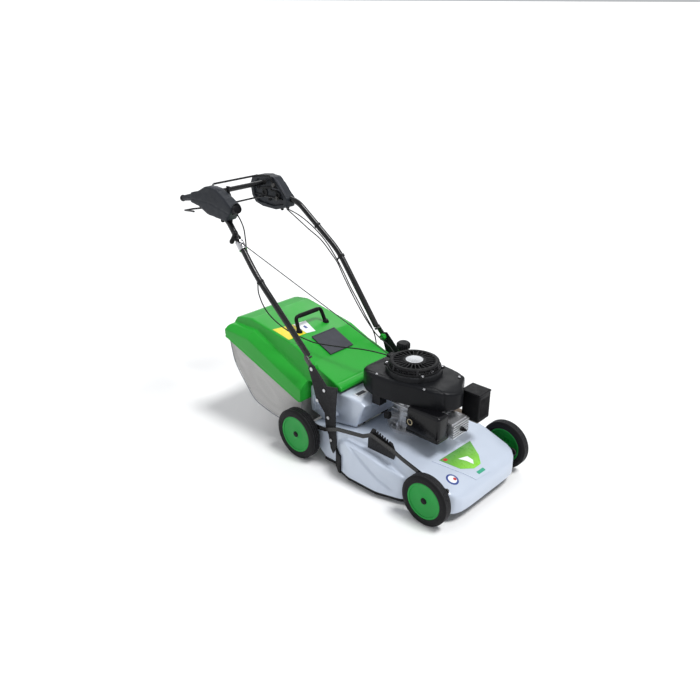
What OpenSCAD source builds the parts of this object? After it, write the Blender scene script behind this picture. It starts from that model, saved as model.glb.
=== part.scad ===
// Petrol rotary walk-behind mower with a rear grass box.
// +X points forward, +Y to the operator's left, +Z up.
// The origin is on the ground, under the rear wheels' axle.

/* [Wheels] */
// Distance between the front and rear axles
wheel_base = 663; // [655:1:670]
// Front tyre radius
front_r = 100; // [98:1:102]
// Rear tyre radius
rear_r = 107.5; // [106:0.5:109]
// Outer face of every tyre, from the middle plane
track_half = 281; // [280:1:284]
// Front tyre width
front_w = 40; // [38:1:41]
// Rear tyre width
rear_w = 46; // [44:1:46]
// Radius of the stub axles and of the drive shaft
axle_r = 8; // [7:0.5:9]

/* [Deck] */
// Height of the deck's top, where the engine stands
deck_top = 195; // [190:1:200]
// Half width of the deck between the wheels
bulge_half = 268; // [260:1:270]
// Half width of the deck beside the wheels
core_half = 220; // [216:1:220]
// Wall of the deck
wall = 4; // [3:0.5:5]
// Tip of the nose
nose_x = 760; // [758:1:762]

/* [Engine] */
// Crankshaft axis, forward of the rear axle
crank_x = 385; // [380:1:390]
// Radius of the recoil starter's dome
dome_r = 104; // [100:1:106]
// Length of the blade
blade_len = 500; // [490:5:505]

/* [Handle] */
// Radius of the handle tubes
tube_r = 12.5; // [11:0.5:13]
// Height of the cross bar
bar_z = 979; // [970:1:985]

/* [Grass box] */
// Half width of the lid's wings
wing_half = 231; // [226:1:232]
// Half width of the bag
bag_half = 212; // [208:1:215]
// Half width of the lid's raised middle
hump_half = 172; // [168:1:176]

/* [Hidden] */
$fn = 48;
eps = 0.01;
corner_ball = 1.07;         // radius of a bend's ball, in radii of its bar
web_share = 0.92;           // half width of a strap's web, in radii of its ends
run_gap = 0.06;             // radial clearance of every running fit
arm_len = 55;               // swing arm, pivot to wheel axle
rear_pivot = [arm_len, rear_r];
front_pivot = [wheel_base + arm_len, front_r];
pin_off = [10, 50];         // link pin, from either swing arm's pivot
pivot_r = 10;
arm_in = 224;               // swing arms lie between these planes
arm_out = 228;
bracket_in = 222;           // side brackets lie between these planes
bracket_out = 226;
link_in = 229;
link_out = 233.4;
fold_axis = [49, 404];      // handle's fold axis, x and z
tube_low = [14, 207, 442];  // middle line of the left handle tube
tube_kink = [-242, 238, 723];
tube_bend = [-458, 200, 915];
tube_end = [-538, 199, 922];
blade_z = 42;
rim_z = 16;                 // underside of the rubber rim
shaft_r = 12.5;
pulley_z = 68;              // drive belt's plane
pulley_r = 28;
gear_x = 20;                // gearbox's upright input shaft
gear_pulley_r = 38;
dome_base = 452;
chute_half = 176;

green = [0.10, 0.55, 0.18];
dark_green = [0.08, 0.35, 0.12];
silver = [0.80, 0.83, 0.88];
black = [0.06, 0.06, 0.07];
grey = [0.25, 0.25, 0.27];
metal = [0.65, 0.66, 0.68];

// routes of the cables and of the starter rope
throttle_path = [[-412, -184, 938], [-392, -184, 916], [-374, -184, 884], [-362, -188, 842],
    [-346, -196, 796], [-300, -208, 756], [-264, -218, 700], [-262, -216, 640],
    [-236, -208, 578], [-196, -190, 530], [-140, -166, 492], [-60, -138, 468],
    [-18, -124, 462], [64, -86, 460], [160, -30, 457], [246, 36, 434]];
brake_path = [[-514, 184, 874], [-449, 186, 842], [-381, 190, 806], [-315, 202, 766],
    [-258, 214, 706], [-228, 218, 672], [-192, 212, 630], [-146, 208, 574],
    [-104, 206, 524], [-56, 200, 478], [0, 188, 440], [42, 186, 412],
    [104, 196, 374], [150, 192, 330], [204, 190, 290], [256, 184, 264],
    [310, 140, 250], [340, 64, 242]];
drive_path = [[-528, 204, 868], [-454, 205, 851], [-375, 208, 816], [-300, 214, 762],
    [-240, 220, 694], [-196, 220, 640], [-150, 216, 582], [-104, 213, 532],
    [-52, 206, 478], [0, 194, 434], [26, 189, 386], [32, 190, 310], [26, 199, 250],
    [24, 202, 190], [18, 182, 154], [13, 146, 146], [14, 80, 147], [16, 20, 142]];
rope_start = [262, 0, 455.5];
rope_eye = [-340.6, -227.1, 840];
rope_dir = (rope_eye - rope_start) / norm(rope_eye - rope_start);

// ---------- helpers ----------

// Round bar from p to q
module bar(p, q, r) {
    d = q - p;
    translate(p)
        rotate([0, acos(d[2] / norm(d)), atan2(d[1], d[0])])
            cylinder(h = norm(d), r = r);
}

// Ball at a bend, its axis across the bend and its seam on the outer side
module bend_ball(before, at, after, r) {
    seam = -unit(unit(before - at) + unit(after - at));
    pole = unit(cross(before - at, after - at));
    side = cross(pole, seam);
    multmatrix([for (k = [0 : 2]) [seam[k], side[k], pole[k], at[k]]]) sphere(corner_ball * r);
}

// Round bar along a list of points, with a slightly larger ball at each corner
module bent_bar(points, r) {
    for (i = [0 : len(points) - 2]) bar(points[i], points[i + 1], r);
    for (i = [1 : len(points) - 2]) bend_ball(points[i - 1], points[i], points[i + 1], r);
}

// Plate with outline [x, z], between the planes y0 and y1
module plate(outline, y0, y1) {
    translate([0, y1, 0]) rotate([90, 0, 0]) linear_extrude(y1 - y0) polygon(outline);
}

// Cylinder along Y, between the planes y0 and y1
module rod_y(x, z, r, y0, y1) {
    translate([x, y1, z]) rotate([90, 0, 0]) cylinder(h = y1 - y0, r = r);
}

module block(low, high) {
    translate(low) cube(high - low);
}

// Straight web between two slightly wider round ends, as a plate across Y
module strap(a, b, r, y0, y1) {
    d = b - a;
    half = web_share * r;
    rod_y(a[0], a[1], r, y0, y1);
    rod_y(b[0], b[1], r, y0, y1);
    translate([a[0], y1, a[1]]) rotate([90, 0, 0]) rotate([0, 0, atan2(d[1], d[0])])
        translate([0, -half, 0]) cube([norm(d), 2 * half, y1 - y0]);
}

// Left-hand normal of a run's stretch i, and the mitred offset at its point i
function normal(run, i) = let (d = run[i + 1] - run[i]) [-d[1], d[0]] / norm(d);
function mitre(run, i) = i == 0 ? normal(run, 0)
    : i == len(run) - 1 ? normal(run, i - 1)
    : let (a = normal(run, i - 1), b = normal(run, i)) (a + b) / (1 + a * b);
// Outline of a strip of half width h along a run of [x, z] points
function strip(run, h) = concat([for (i = [0 : len(run) - 1]) run[i] + h * mitre(run, i)],
    [for (i = [len(run) - 1 : -1 : 0]) run[i] - h * mitre(run, i)]);

function unit(v) = v / norm(v);
function bezier(a, b, c, d, t) = a * pow(1 - t, 3) + b * 3 * t * pow(1 - t, 2)
    + c * 3 * t * t * (1 - t) + d * pow(t, 3);
function slope(p, i) = i == 0 ? (p[1] - p[0]) / 2
    : i == len(p) - 1 ? (p[i] - p[i - 1]) / 2
    : (p[i + 1] - p[i - 1]) / 2;
// Smooth line through the points of p, with n steps a stretch
function smooth(p, n) = [for (i = [0 : len(p) - 2]) for (k = [0 : n - 1])
    bezier(p[i], p[i] + slope(p, i) / 3, p[i + 1] - slope(p, i + 1) / 3, p[i + 1], k / n),
    p[len(p) - 1]];

// Cable of radius r along the line, with 8 sides
module cable(line, r) {
    sides = 8;
    n = len(line);
    rings = [for (i = [0 : n - 1])
        let (t = unit(line[min(i + 1, n - 1)] - line[max(i - 1, 0)]),
             u = unit(cross(t, [0, 0, 1])), v = cross(t, u))
        for (k = [0 : sides - 1]) line[i] + r * (cos(k * 360 / sides) * u + sin(k * 360 / sides) * v)];
    walls = [for (i = [0 : n - 2]) for (k = [0 : sides - 1])
        let (m = (k + 1) % sides)
        [i * sides + k, i * sides + m, (i + 1) * sides + m, (i + 1) * sides + k]];
    first = [for (k = [0 : sides - 1]) sides - 1 - k];
    last = [for (k = [0 : sides - 1]) (n - 1) * sides + k];
    polyhedron(rings, concat(walls, [first, last]));
}

// ---------- deck ----------

// Profile of the deck's middle body, grown inwards by g
function core_profile(g) = [[30 + g, 96], [30 + g, 150 - g], [120, 168 - g], [245, 190 - g],
    [300, deck_top - g], [480, deck_top - g], [590, 172 - g], [735, 124 - g], [nose_x - g, 100],
    [nose_x - g, 44], [560, 30], [120, 30]];
function bulge_profile(g) = [[170, 26], [180, 118 - g], [249, 166 - g], [400, 158 - g],
    [556, 112 - g], [556, 26]];

// Plan of one side's bulge between the wheels, from the middle plane out, shrunk by g
function bulge_plan(g) = [[172 + g, 0], [186 + g, 222 - g], [225 + g, 250 - g], [290, bulge_half - g],
    [430, bulge_half - g], [530 - g, 240 - g], [556 - g, 214 - g], [556 - g, 0]];
function side_of(points, s) = [for (p = points) [p[0], s * p[1]]];

module deck_body(g) {
    plate(core_profile(g), -core_half + g, core_half - g);
    intersection() {
        plate(bulge_profile(g), -300, 300);
        for (s = [1, -1]) linear_extrude(300) polygon(side_of(bulge_plan(g), s));
    }
}

module deck_shell() color(silver) {
    difference() {
        deck_body(0);
        difference() {
            union() {
                deck_body(wall);
                block([100, -core_half + wall, 0], [nose_x - 60, core_half - wall, 60]);
                block([700, -core_half + wall, 0], [nose_x - wall, core_half - wall, 100]);
                block([150, -240, 0], [540, 240, 40]);
            }
            // rear wall of the blade chamber, under the discharge opening
            block([112, -core_half, 30], [116, core_half, 122]);
            // front wall of the blade chamber
            block([655, -core_half, 34], [659, core_half, 142]);
        }
        // discharge opening in the deck's top
        block([60, -chute_half + 6, 130], [240, chute_half - 6, 220]);
        translate([crank_x, 0, 150]) cylinder(h = 80, r = 40);
        for (a = [0 : 120 : 240]) translate([crank_x, 0, 150]) rotate([0, 0, a + 30])
            translate([82, 0, 0]) cylinder(h = 80, r = 4.4);
        rod_y(rear_pivot[0], rear_pivot[1], pivot_r + run_gap, -300, 300);
        rod_y(front_pivot[0], front_pivot[1], pivot_r + run_gap, -300, 300);
        block([0, -130, 40], [113, 130, 142]);
        rod_y(153, 120, 4, -300, 300);
        block([100, -70, 50], [120, 70, 90]);
    }
    // lands that the side brackets are bolted to
    for (s = [1, -1]) mirror([0, s > 0 ? 0 : 1, 0]) difference() {
        rod_y(153, 120, 12, core_half, bracket_in);
        rod_y(153, 120, 4, 200, 240);
    }
}

module deck_rim() color(black) {
    strip = [[116, 0], [116, 222], [186, 224], [225, 252], [290, bulge_half + 2],
        [430, bulge_half + 2], [532, 240], [560, 222], [560, 214], [528, 232], [428, bulge_half - 5],
        [292, bulge_half - 5], [228, 246], [188, 216], [124, 214], [124, 0]];
    skid = [[188, 224.6], [225, 251.2], [236, 254.8], [236, 261], [222, 257.5], [184, 230.4]];
    translate([0, 0, rim_z]) for (s = [1, -1]) {
        linear_extrude(10) polygon(side_of(strip, s));
        linear_extrude(82) polygon(side_of(skid, s));
    }
}

module discharge_chute() color(silver) {
    outer = [[58, 156], [120, 168.4], [245, 190.4], [262, 250], [285, 300], [262, 312], [170, 314], [10, 300],
        [-14, 290], [-14, 176], [40, 168]];
    inner = [[20, 180], [60, 172], [240, 204], [256, 250], [270, 292], [250, 304], [170, 306],
        [10, 292], [-30, 282], [-30, 182]];
    difference() {
        union() {
            plate(outer, -chute_half, chute_half);
            for (s = [1, -1]) for (p = [[79, 275], [139, 218]])
                rod_y(p[0], p[1], 11, min(s * 170, s * bracket_in), max(s * 170, s * bracket_in));
            for (s = [1, -1]) for (k = [0 : 4]) block([14 + 9 * k, min(s * 172, s * 186), 190 + 4 * k],
                [19 + 9 * k, max(s * 172, s * 186), 262 + 4 * k]);
        }
        plate(inner, -chute_half + 5, chute_half - 5);
        block([64, -chute_half + 8, 140], [236, chute_half - 8, 215]);
        for (s = [1, -1]) for (p = [[79, 275], [139, 218]])
            rod_y(p[0], p[1], 4, min(s * 160, s * 240), max(s * 160, s * 240));
    }
}

module bracket(s) {
    outline = [[30, 402], [40, 420], [58, 424], [131, 356], [190, 368], [184, 333], [179, 272],
        [178, 179], [183, 96], [164, 62], [151, 83], [140, 140], [124, 174], [119, 233],
        [70, 284], [50, 350]];
    mirror([0, s > 0 ? 0 : 1, 0]) difference() {
        plate(outline, bracket_in, bracket_out);
        rod_y(fold_axis[0], fold_axis[1], 5 + run_gap, 200, 240);
        for (p = [[118, 333], [79, 275], [139, 218], [153, 120]]) rod_y(p[0], p[1], 4, 200, 240);
    }
}

module bracket_left() color(black) bracket(1);

module bracket_right() color(black) bracket(-1);

module deck_bolts() color(metal) {
    for (s = [1, -1]) mirror([0, s > 0 ? 0 : 1, 0]) {
        rod_y(fold_axis[0], fold_axis[1], 5, 197, 226.5);
        rod_y(fold_axis[0], fold_axis[1], 8, bracket_out, 228.5);
        for (p = [[118, 333], [79, 275], [139, 218]]) {
            rod_y(p[0], p[1], 4, 205, 227);
            rod_y(p[0], p[1], 7, bracket_out, 228.3);
        }
        rod_y(153, 120, 4, 206, 227);
        rod_y(153, 120, 6.5, bracket_out, 228.3);
    }
    for (a = [0 : 120 : 240]) translate([crank_x, 0, 0]) rotate([0, 0, a + 30]) translate([82, 0, 180]) {
        cylinder(h = 27, r = 4);
        translate([0, 0, 27]) cylinder(h = 6, r = 7, $fn = 6);
    }
}

module height_comb() color(black) {
    teeth = 7;
    difference() {
        plate([[350, 170], [352, 226], [372, 262], [384, 262], [470, 236], [486, 206], [478, 170]],
            -bracket_out, -core_half - 1);
        for (k = [0 : teeth - 2]) translate([388 + 12 * k, -240, 250 - 3.6 * k])
            cube([7, 20, 24]);
    }
    block([356, -core_half - 1.2, 172], [376, -core_half, 186]);
    block([450, -core_half - 1.2, 172], [470, -core_half, 186]);
}

// ---------- engine ----------

module crankcase() color(metal) {
    difference() {
        union() {
            translate([crank_x, 0, deck_top]) cylinder(h = 12, r = 98);
            translate([crank_x, 0, deck_top + 12]) cylinder(h = 134, r = 74);
            translate([crank_x, 0, deck_top - 12]) cylinder(h = 12, r = 36);
            for (a = [30 : 30 : 330]) translate([crank_x, 0, deck_top + 12]) rotate([0, 0, a])
                translate([70, -2, 0]) cube([24, 4, 30]);
            block([crank_x + 50, -38, 222], [crank_x + 76, 32, 300]);
            // filler neck of the sump
            bar([crank_x - 14, -60, 240], [crank_x - 30, -104, 262], 13);
        }
        translate([crank_x, 0, deck_top - 20]) cylinder(h = 200, r = shaft_r + run_gap);
        translate([crank_x, 0, deck_top + 10]) cylinder(h = 118, r = 60);
        for (a = [0 : 120 : 240]) translate([crank_x, 0, deck_top - 1]) rotate([0, 0, a + 30])
            translate([82, 0, 0]) cylinder(h = 40, r = 4 + eps);
        for (a = [0 : 120 : 240]) translate([crank_x, 0, deck_top + 12]) rotate([0, 0, a + 30])
            translate([82, 0, 0]) cylinder(h = 40, r = 10);
        bar([crank_x - 14, -60, 240], [crank_x - 31, -106.8, 263.4], 8.5);
    }
}

module cylinder_block() {
    fins = 7;
    difference() {
        union() {
            block([crank_x + 76, -38, 222], [560, 32, 300]);
            for (k = [0 : fins - 1]) block([470 + 13 * k, -56, 212], [475 + 13 * k, 46, 308]);
        }
        translate([440, -3, 262]) rotate([0, 90, 0]) cylinder(h = 110, r = 30);
    }
}

module cylinder_head() color(metal) {
    cylinder_block();
    // rocker cover with its ribs
    block([560, -52, 236], [612, 44, 300]);
    for (k = [0 : 5]) block([566, -54, 240 + 10 * k], [622, 46, 245 + 10 * k]);
}

module spark_plug() color("white") {
    translate([622, -4, 268]) rotate([0, 90, 0]) {
        cylinder(h = 8, r = 10, $fn = 6);
        translate([0, 0, 8]) cylinder(h = 10, r = 6);
        translate([0, 0, 18]) cylinder(h = 6, r = 3.4);
    }
}

module carburettor() color(metal) {
    difference() {
        union() {
            block([474, -76, 250], [514, -57, 300]);
            bar([494, -80, 276], [494, -76, 276], 16);
            translate([494, -66, 226]) cylinder(h = 24, r = 9);
        }
        rod_y(494, 276, 9, -90, -40);
    }
}

module air_cleaner_cover() color(black) {
    difference() {
        block([455, -127, 238], [582, -80.5, 342]);
        block([459, -123, 242], [578, -70, 338]);
    }
    difference() {
        block([586, -127, 238], [598, -62, 336]);
        block([580, -120, 244], [594, -50, 330]);
    }
    block([582, -127, 238], [586, -80.5, 336]);
    rod_y(474, 286, 13, -131, -127);
}

module muffler() color(metal) {
    block([590, 76, 262], [640, 128, 378]);
    block([540, 47, 276], [590.5, 84, 292]);
}

module muffler_guard() color(black) {
    slots = 6;
    difference() {
        block([578, 62, 248], [652, 138, 390]);
        block([582, 66, 252], [648, 134, 386]);
        block([570, 50, 266], [592, 110, 300]);
        for (k = [0 : slots - 1]) block([588 + 9.5 * k, 132, 270], [593 + 9.5 * k, 142, 366]);
        for (k = [0 : slots - 1]) block([646, 76 + 9 * k, 270], [656, 80 + 9 * k, 366]);
    }
}

function shroud_plan(g) = [[228 + g, -84 + g], [262 + g, -128 + g], [300, -140 + g], [430, -138 + g],
    [530 - g, -100 + g], [596 - g, -20], [598 - g, 30], [570 - g, 60], [546 - g, 112 - g],
    [500, 122 - g], [300, 124 - g], [246 + g, 116 - g], [226 + g, 60]];

module fan_shroud() color(black) {
    difference() {
        union() {
            translate([0, 0, 346]) linear_extrude(84) polygon(shroud_plan(0));
            translate([crank_x, 0, 430]) cylinder(h = 21.7, r = dome_r + 4);
            block([290, -136, 306], [330, -96, 347]);
        }
        translate([0, 0, 340]) linear_extrude(86) polygon(shroud_plan(4));
        translate([crank_x, 0, 420]) cylinder(h = 60, r = dome_r - 8);
        block([294, -132, 300], [326, -92, 350]);
        // opening for the tank's filler neck
        translate([262, 84, 420]) cylinder(h = 20, r = 21);
    }
}

module recoil_housing() color(black) {
    slots = 30;
    translate([crank_x, 0, dome_base]) difference() {
        union() {
            cylinder(h = 8, r = dome_r);
            cylinder(h = 20, r = dome_r - 8);
            translate([0, 0, 20]) cylinder(h = 6, r = dome_r - 16);
            // ear that the rope comes out of
            block([-dome_r - 22, -16, 0], [-dome_r + 14, 18, 12]);
        }
        translate([0, 0, -1]) cylinder(h = 18, r = dome_r - 13);
        translate([0, 0, 10]) cylinder(h = 12, r = dome_r - 22);
        for (a = [0 : 360 / slots : 359]) rotate([0, 0, a]) translate([46, -2, 10])
            cube([34, 4, 30]);
        translate([-dome_r - 30, -6, -1]) cube([60, 12, 9]);
    }
    translate([crank_x, 0, dome_base + 10]) cylinder(h = 14, r = 6);
}

module fuel_tank() color(black) {
    difference() {
        union() {
            block([250, 20, 352], [300, 90, 422]);
            translate([262, 84, 400]) cylinder(h = 60, r = 19);
        }
        block([254, 24, 356], [296, 86, 418]);
        translate([262, 84, 410]) cylinder(h = 60, r = 16);
    }
}

module fuel_cap() color(black) {
    translate([262, 84, 460.4]) {
        cylinder(h = 26, r = 25);
        for (a = [0 : 30 : 330]) rotate([0, 0, a]) translate([22, -3, 0]) cube([5, 6, 24]);
    }
    translate([262, 84, 440]) cylinder(h = 21, r = 14);
}

module oil_cap() color(black) {
    d = [-17, -46.8, 23.4];
    base = [crank_x - 31, -106.8, 263.4];
    bar(base, base + unit(d) * 14, 15);
    bar(base - unit(d) * 18, base + unit(d), 7);
}

module crankshaft() color(metal) {
    translate([crank_x, 0, 66]) cylinder(h = 372, r = shaft_r);
    translate([crank_x, 0, 240]) cylinder(h = 18, r = 44);
    translate([crank_x, 0, 438]) cylinder(h = 9, r = 14, $fn = 6);
}

module flywheel() color(grey) {
    blades = 12;
    difference() {
        union() {
            translate([crank_x, 0, 362]) cylinder(h = 40, r = 82);
            for (a = [0 : 360 / blades : 359]) translate([crank_x, 0, 402]) rotate([0, 0, a])
                translate([50, -2, -1]) cube([34, 4, 23]);
        }
        translate([crank_x, 0, 350]) cylinder(h = 80, r = shaft_r);
        translate([crank_x, 0, 355]) difference() {
            cylinder(h = 30, r = 72);
            cylinder(h = 30, r = 24);
        }
    }
    // starter cup
    difference() {
        translate([crank_x, 0, 401]) cylinder(h = 36, r = 40);
        translate([crank_x, 0, 404]) cylinder(h = 40, r = 37);
        translate([crank_x, 0, 390]) cylinder(h = 40, r = shaft_r);
    }
}

module recoil_pulley() color("ivory") {
    translate([crank_x, 0, dome_base - 2]) difference() {
        union() {
            cylinder(h = 2, r = 70);
            cylinder(h = 10, r = 62);
            translate([0, 0, 8]) cylinder(h = 2, r = 70);
        }
        translate([0, 0, 9]) cylinder(h = 30, r = 6 + run_gap);
        translate([0, 0, -1]) cylinder(h = 12, r = 30);
    }
    translate([crank_x, 0, dome_base + 8.2]) difference() {
        cylinder(h = 1.6, r = 40);
        translate([0, 0, -1]) cylinder(h = 5, r = 6 + run_gap);
    }
}

module blade_adapter() color(grey) {
    translate([crank_x, 0, 0]) difference() {
        union() {
            translate([0, 0, 46]) cylinder(h = 14, r = 30);
            translate([0, 0, pulley_z - 9]) cylinder(h = 4, r = pulley_r + 5);
            translate([0, 0, pulley_z - 6]) cylinder(h = 12, r = pulley_r - 4);
            translate([0, 0, pulley_z + 5]) cylinder(h = 4, r = pulley_r + 5);
        }
        translate([0, 0, 66]) cylinder(h = 40, r = shaft_r);
        translate([0, 0, 40]) cylinder(h = 40, r = 5);
    }
}

module blade() color(metal) {
    translate([crank_x, 0, blade_z]) difference() {
        union() {
            translate([-blade_len / 2, -27, 0]) cube([blade_len, 54, 4]);
            for (s = [1, -1]) mirror([s > 0 ? 0 : 1, 0, 0]) mirror([0, s > 0 ? 0 : 1, 0])
                translate([150, 20, 1]) rotate([38, 0, 0]) cube([blade_len / 2 - 152, 22, 3]);
        }
        translate([0, 0, -5]) cylinder(h = 20, r = 5);
    }
}

module blade_bolt() color(metal) {
    translate([crank_x, 0, 32]) {
        cylinder(h = 7, r = 9, $fn = 6);
        translate([0, 0, 7]) cylinder(h = 3, r = 17);
        cylinder(h = 34, r = 5);
    }
}

// ---------- drive ----------

module belt_outline(r1, r2) {
    d = crank_x - gear_x;
    a = acos((r1 - r2) / d);
    polygon(concat([for (t = [a : (360 - 2 * a) / 24 : 361 - a]) [r1 * cos(t), r1 * sin(t)]],
        [for (t = [-a : 2 * a / 24 : a + 0.01]) [d + r2 * cos(t), r2 * sin(t)]]));
}

module drive_belt() color(black) {
    translate([gear_x, 0, pulley_z - 4]) linear_extrude(8) difference() {
        belt_outline(gear_pulley_r + 5.6, pulley_r + 1.6);
        belt_outline(gear_pulley_r + 0.4, pulley_r - 3.6);
    }
}

module gearbox_pulley() color(grey) {
    translate([gear_x, 0, pulley_z]) difference() {
        union() {
            translate([0, 0, -8]) cylinder(h = 3, r = gear_pulley_r + 8);
            translate([0, 0, -6]) cylinder(h = 12, r = gear_pulley_r);
            translate([0, 0, 5]) cylinder(h = 3, r = gear_pulley_r + 8);
        }
        translate([0, 0, -20]) cylinder(h = 40, r = 7 + run_gap);
    }
}

module gearbox() color(metal) {
    difference() {
        union() {
            rod_y(0, rear_r, 24, -34, 34);
            block([-26, -22, 84], [6, 22, 132]);
            block([-6, -30, 90], [30, 30, 134]);
        }
        rod_y(0, rear_r, axle_r + run_gap, -60, 60);
    }
    translate([gear_x, 0, 56]) cylinder(h = 40, r = 7);
}

module arm_pair(pivot, wheel, bore_r) {
    for (s = [1, -1]) mirror([0, s > 0 ? 0 : 1, 0]) difference() {
        strap(pivot, wheel, 17, arm_in, arm_out);
        rod_y(wheel[0], wheel[1], bore_r, arm_in - 5, arm_out + 5);
    }
    rod_y(pivot[0], pivot[1], pivot_r, -arm_out - 1.5, arm_out + 1.5);
    // lever on the right arm, with the pin of the height link
    pin = pivot + pin_off;
    plate([pivot + [-9, 6], pin + [-8, 5], pin + [-2, 9], pin + [7, 6], pivot + [11, 4]],
        -arm_out + 0.6, -arm_in - 0.4);
    rod_y(pin[0], pin[1], 4, -link_out - 0.4, -arm_in - 1);
}

module rear_arms() color(black) {
    arm_pair(rear_pivot, [0, rear_r], axle_r + run_gap);
}

module front_axle() color(black) {
    arm_pair(front_pivot, [wheel_base, front_r], 4);
    for (s = [1, -1]) mirror([0, s > 0 ? 0 : 1, 0])
        rod_y(wheel_base, front_r, axle_r, arm_in, track_half - 8);
}

module drive_shaft() color(metal) {
    rod_y(0, rear_r, axle_r, -track_half + 8, track_half - 8);
}

module height_link() color(black) {
    run = [rear_pivot + pin_off, [120, 160], [196, 190], [330, 214], [372, 236], [474, 214],
        [524, 196], [634, 166], front_pivot + pin_off];
    ends = [run[0], run[len(run) - 1]];
    difference() {
        union() {
            plate(strip(run, 8), -link_out, -link_in);
            for (p = ends) rod_y(p[0], p[1], 10, -link_out, -link_in);
        }
        for (p = ends) rod_y(p[0], p[1], 4 + run_gap, -240, -220);
    }
}

// ---------- wheels ----------

// Wheels are drawn along +Y from their outer face at y = 0 inwards, then placed
module tyre(r, w) {
    ribs = 4;
    rim = r * 0.72;
    rotate([90, 0, 0]) difference() {
        union() {
            cylinder(h = w, r = r - 3);
            for (k = [0 : ribs - 1]) translate([0, 0, w * 0.14 + k * w * 0.2])
                cylinder(h = w * 0.12, r = r);
        }
        translate([0, 0, -1]) cylinder(h = w + 2, r = rim);
    }
}

module rim(r, w, bore_w) {
    rim_r = r * 0.72;
    rotate([90, 0, 0]) difference() {
        union() {
            cylinder(h = w, r = rim_r - 0.05);
        }
        translate([0, 0, -1]) cylinder(h = 5, r = rim_r - 4);
        translate([0, 0, 8]) difference() {
            cylinder(h = w, r = rim_r - 5);
            translate([0, 0, -1]) cylinder(h = bore_w, r = 17);
        }
        translate([0, 0, 7.5]) cylinder(h = w + 20, r = axle_r + run_gap);
    }
    rotate([90, 0, 0]) cylinder(h = 4.5, r = 12);
}

module at_wheel(x, z, s) {
    mirror([0, s > 0 ? 0 : 1, 0]) translate([x, track_half, z]) children();
}

module tyre_front_left() color(black) at_wheel(wheel_base, front_r, 1) tyre(front_r, front_w);

module tyre_front_right() color(black) at_wheel(wheel_base, front_r, -1) tyre(front_r, front_w);

module tyre_rear_left() color(black) at_wheel(0, rear_r, 1) tyre(rear_r, rear_w);

module tyre_rear_right() color(black) at_wheel(0, rear_r, -1) tyre(rear_r, rear_w);

module rim_front_left() color(green) at_wheel(wheel_base, front_r, 1) rim(front_r, front_w, 40);

module rim_front_right() color(green) at_wheel(wheel_base, front_r, -1) rim(front_r, front_w, 40);

module rim_rear_left() color(green) at_wheel(0, rear_r, 1) rim(rear_r, rear_w, 42);

module rim_rear_right() color(green) at_wheel(0, rear_r, -1) rim(rear_r, rear_w, 42);

// ---------- handle ----------

module handle_tube(s) {
    mirror([0, s > 0 ? 0 : 1, 0]) {
        bent_bar([tube_low, tube_kink, tube_bend, tube_end], tube_r);
        difference() {
            strap(fold_axis, [14, 442], 12, 217.4, 221.4);
            rod_y(fold_axis[0], fold_axis[1], 5 + run_gap, 200, 240);
        }
    }
}

module handle_tube_left() color(black) handle_tube(1);

module handle_tube_right() color(black) handle_tube(-1);

module handle_crossbar() color(black) rod_y(-638, bar_z, 11, -172, 172);

module control_housing(s) {
    horn_tip = [-749.6, 204, 951.6];
    horn_cap = [-9, 0.2, -2];
    // the right control is longer and higher than the left one
    outline = s < 0
        ? [[-396, 974], [-434, 909], [-552, 919], [-608, 944], [-664, 952], [-664, 994],
            [-622, 1003], [-570, 1032], [-500, 1030], [-440, 1000]]
        : [[-500, 884], [-496, 924], [-517, 942], [-551, 978], [-586, 1008], [-640, 1012],
            [-694, 1004], [-729, 990], [-745, 958], [-735, 904], [-712, 876], [-664, 864], [-575, 862]];
    mirror([0, s > 0 ? 0 : 1, 0]) {
        difference() {
            plate(outline, 170, s < 0 ? 230 : 222);
            bar(tube_kink, tube_bend, tube_r + 0.2);
            bar(tube_bend, tube_end, tube_r + 0.2);
            translate(tube_bend) sphere(corner_ball * (tube_r + 0.2));
            rod_y(-638, bar_z, 11.01, 160, 172.01);
        }
        bar([-655, 202, 972], horn_tip, 13);
        bar(horn_tip - horn_cap, horn_tip + horn_cap, 14.5);
        // lug of the lower bail
        if (s < 0) strap([-556, 918], [-548, 952], 12, 171, 178);
    }
}

module control_housing_left() color(black) control_housing(1);

module control_housing_right() color(black) control_housing(-1);

module clamp_knob(s) {
    mirror([0, s > 0 ? 0 : 1, 0]) difference() {
        union() {
            rod_y(fold_axis[0], fold_axis[1], 12, 199, 217);
            for (a = [0 : 60 : 300]) translate([fold_axis[0], 217, fold_axis[1]]) rotate([90, a, 0])
                translate([10, -2, 2]) cube([5, 4, 14]);
        }
        rod_y(fold_axis[0], fold_axis[1], 5 + run_gap, 190, 230);
    }
}

module knob_left() color(green) clamp_knob(1);

module knob_right() color(green) clamp_knob(-1);

module rope_guide() color(metal) {
    flip = [1, -1, 1];
    way = tube_bend - tube_kink;
    a = [for (i = [0 : 2]) flip[i] * (tube_kink + 0.45 * way)[i]];
    b = [for (i = [0 : 2]) flip[i] * (tube_kink + 0.59 * way)[i]];
    difference() {
        union() {
            bar(a, b, 17);
            translate(rope_eye) rotate([0, -58, 20]) cylinder(h = 5, r = 9, center = true);
        }
        bar(a + (a - b), b + (b - a), tube_r + 0.01);
        bar(rope_eye - 30 * rope_dir, rope_eye + 30 * rope_dir, 4);
    }
}

module starter_grip() color(black) {
    stem = rope_eye + 12 * rope_dir;
    mid = rope_eye + 40 * rope_dir;
    across = unit([-0.55, 0.02, -0.83]);
    bar(stem, mid, 7);
    bar(mid - 30 * across, mid + 32 * across, 10);
    translate(mid - 30 * across) sphere(corner_ball * 10);
    translate(mid + 32 * across) sphere(corner_ball * 10);
}

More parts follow.
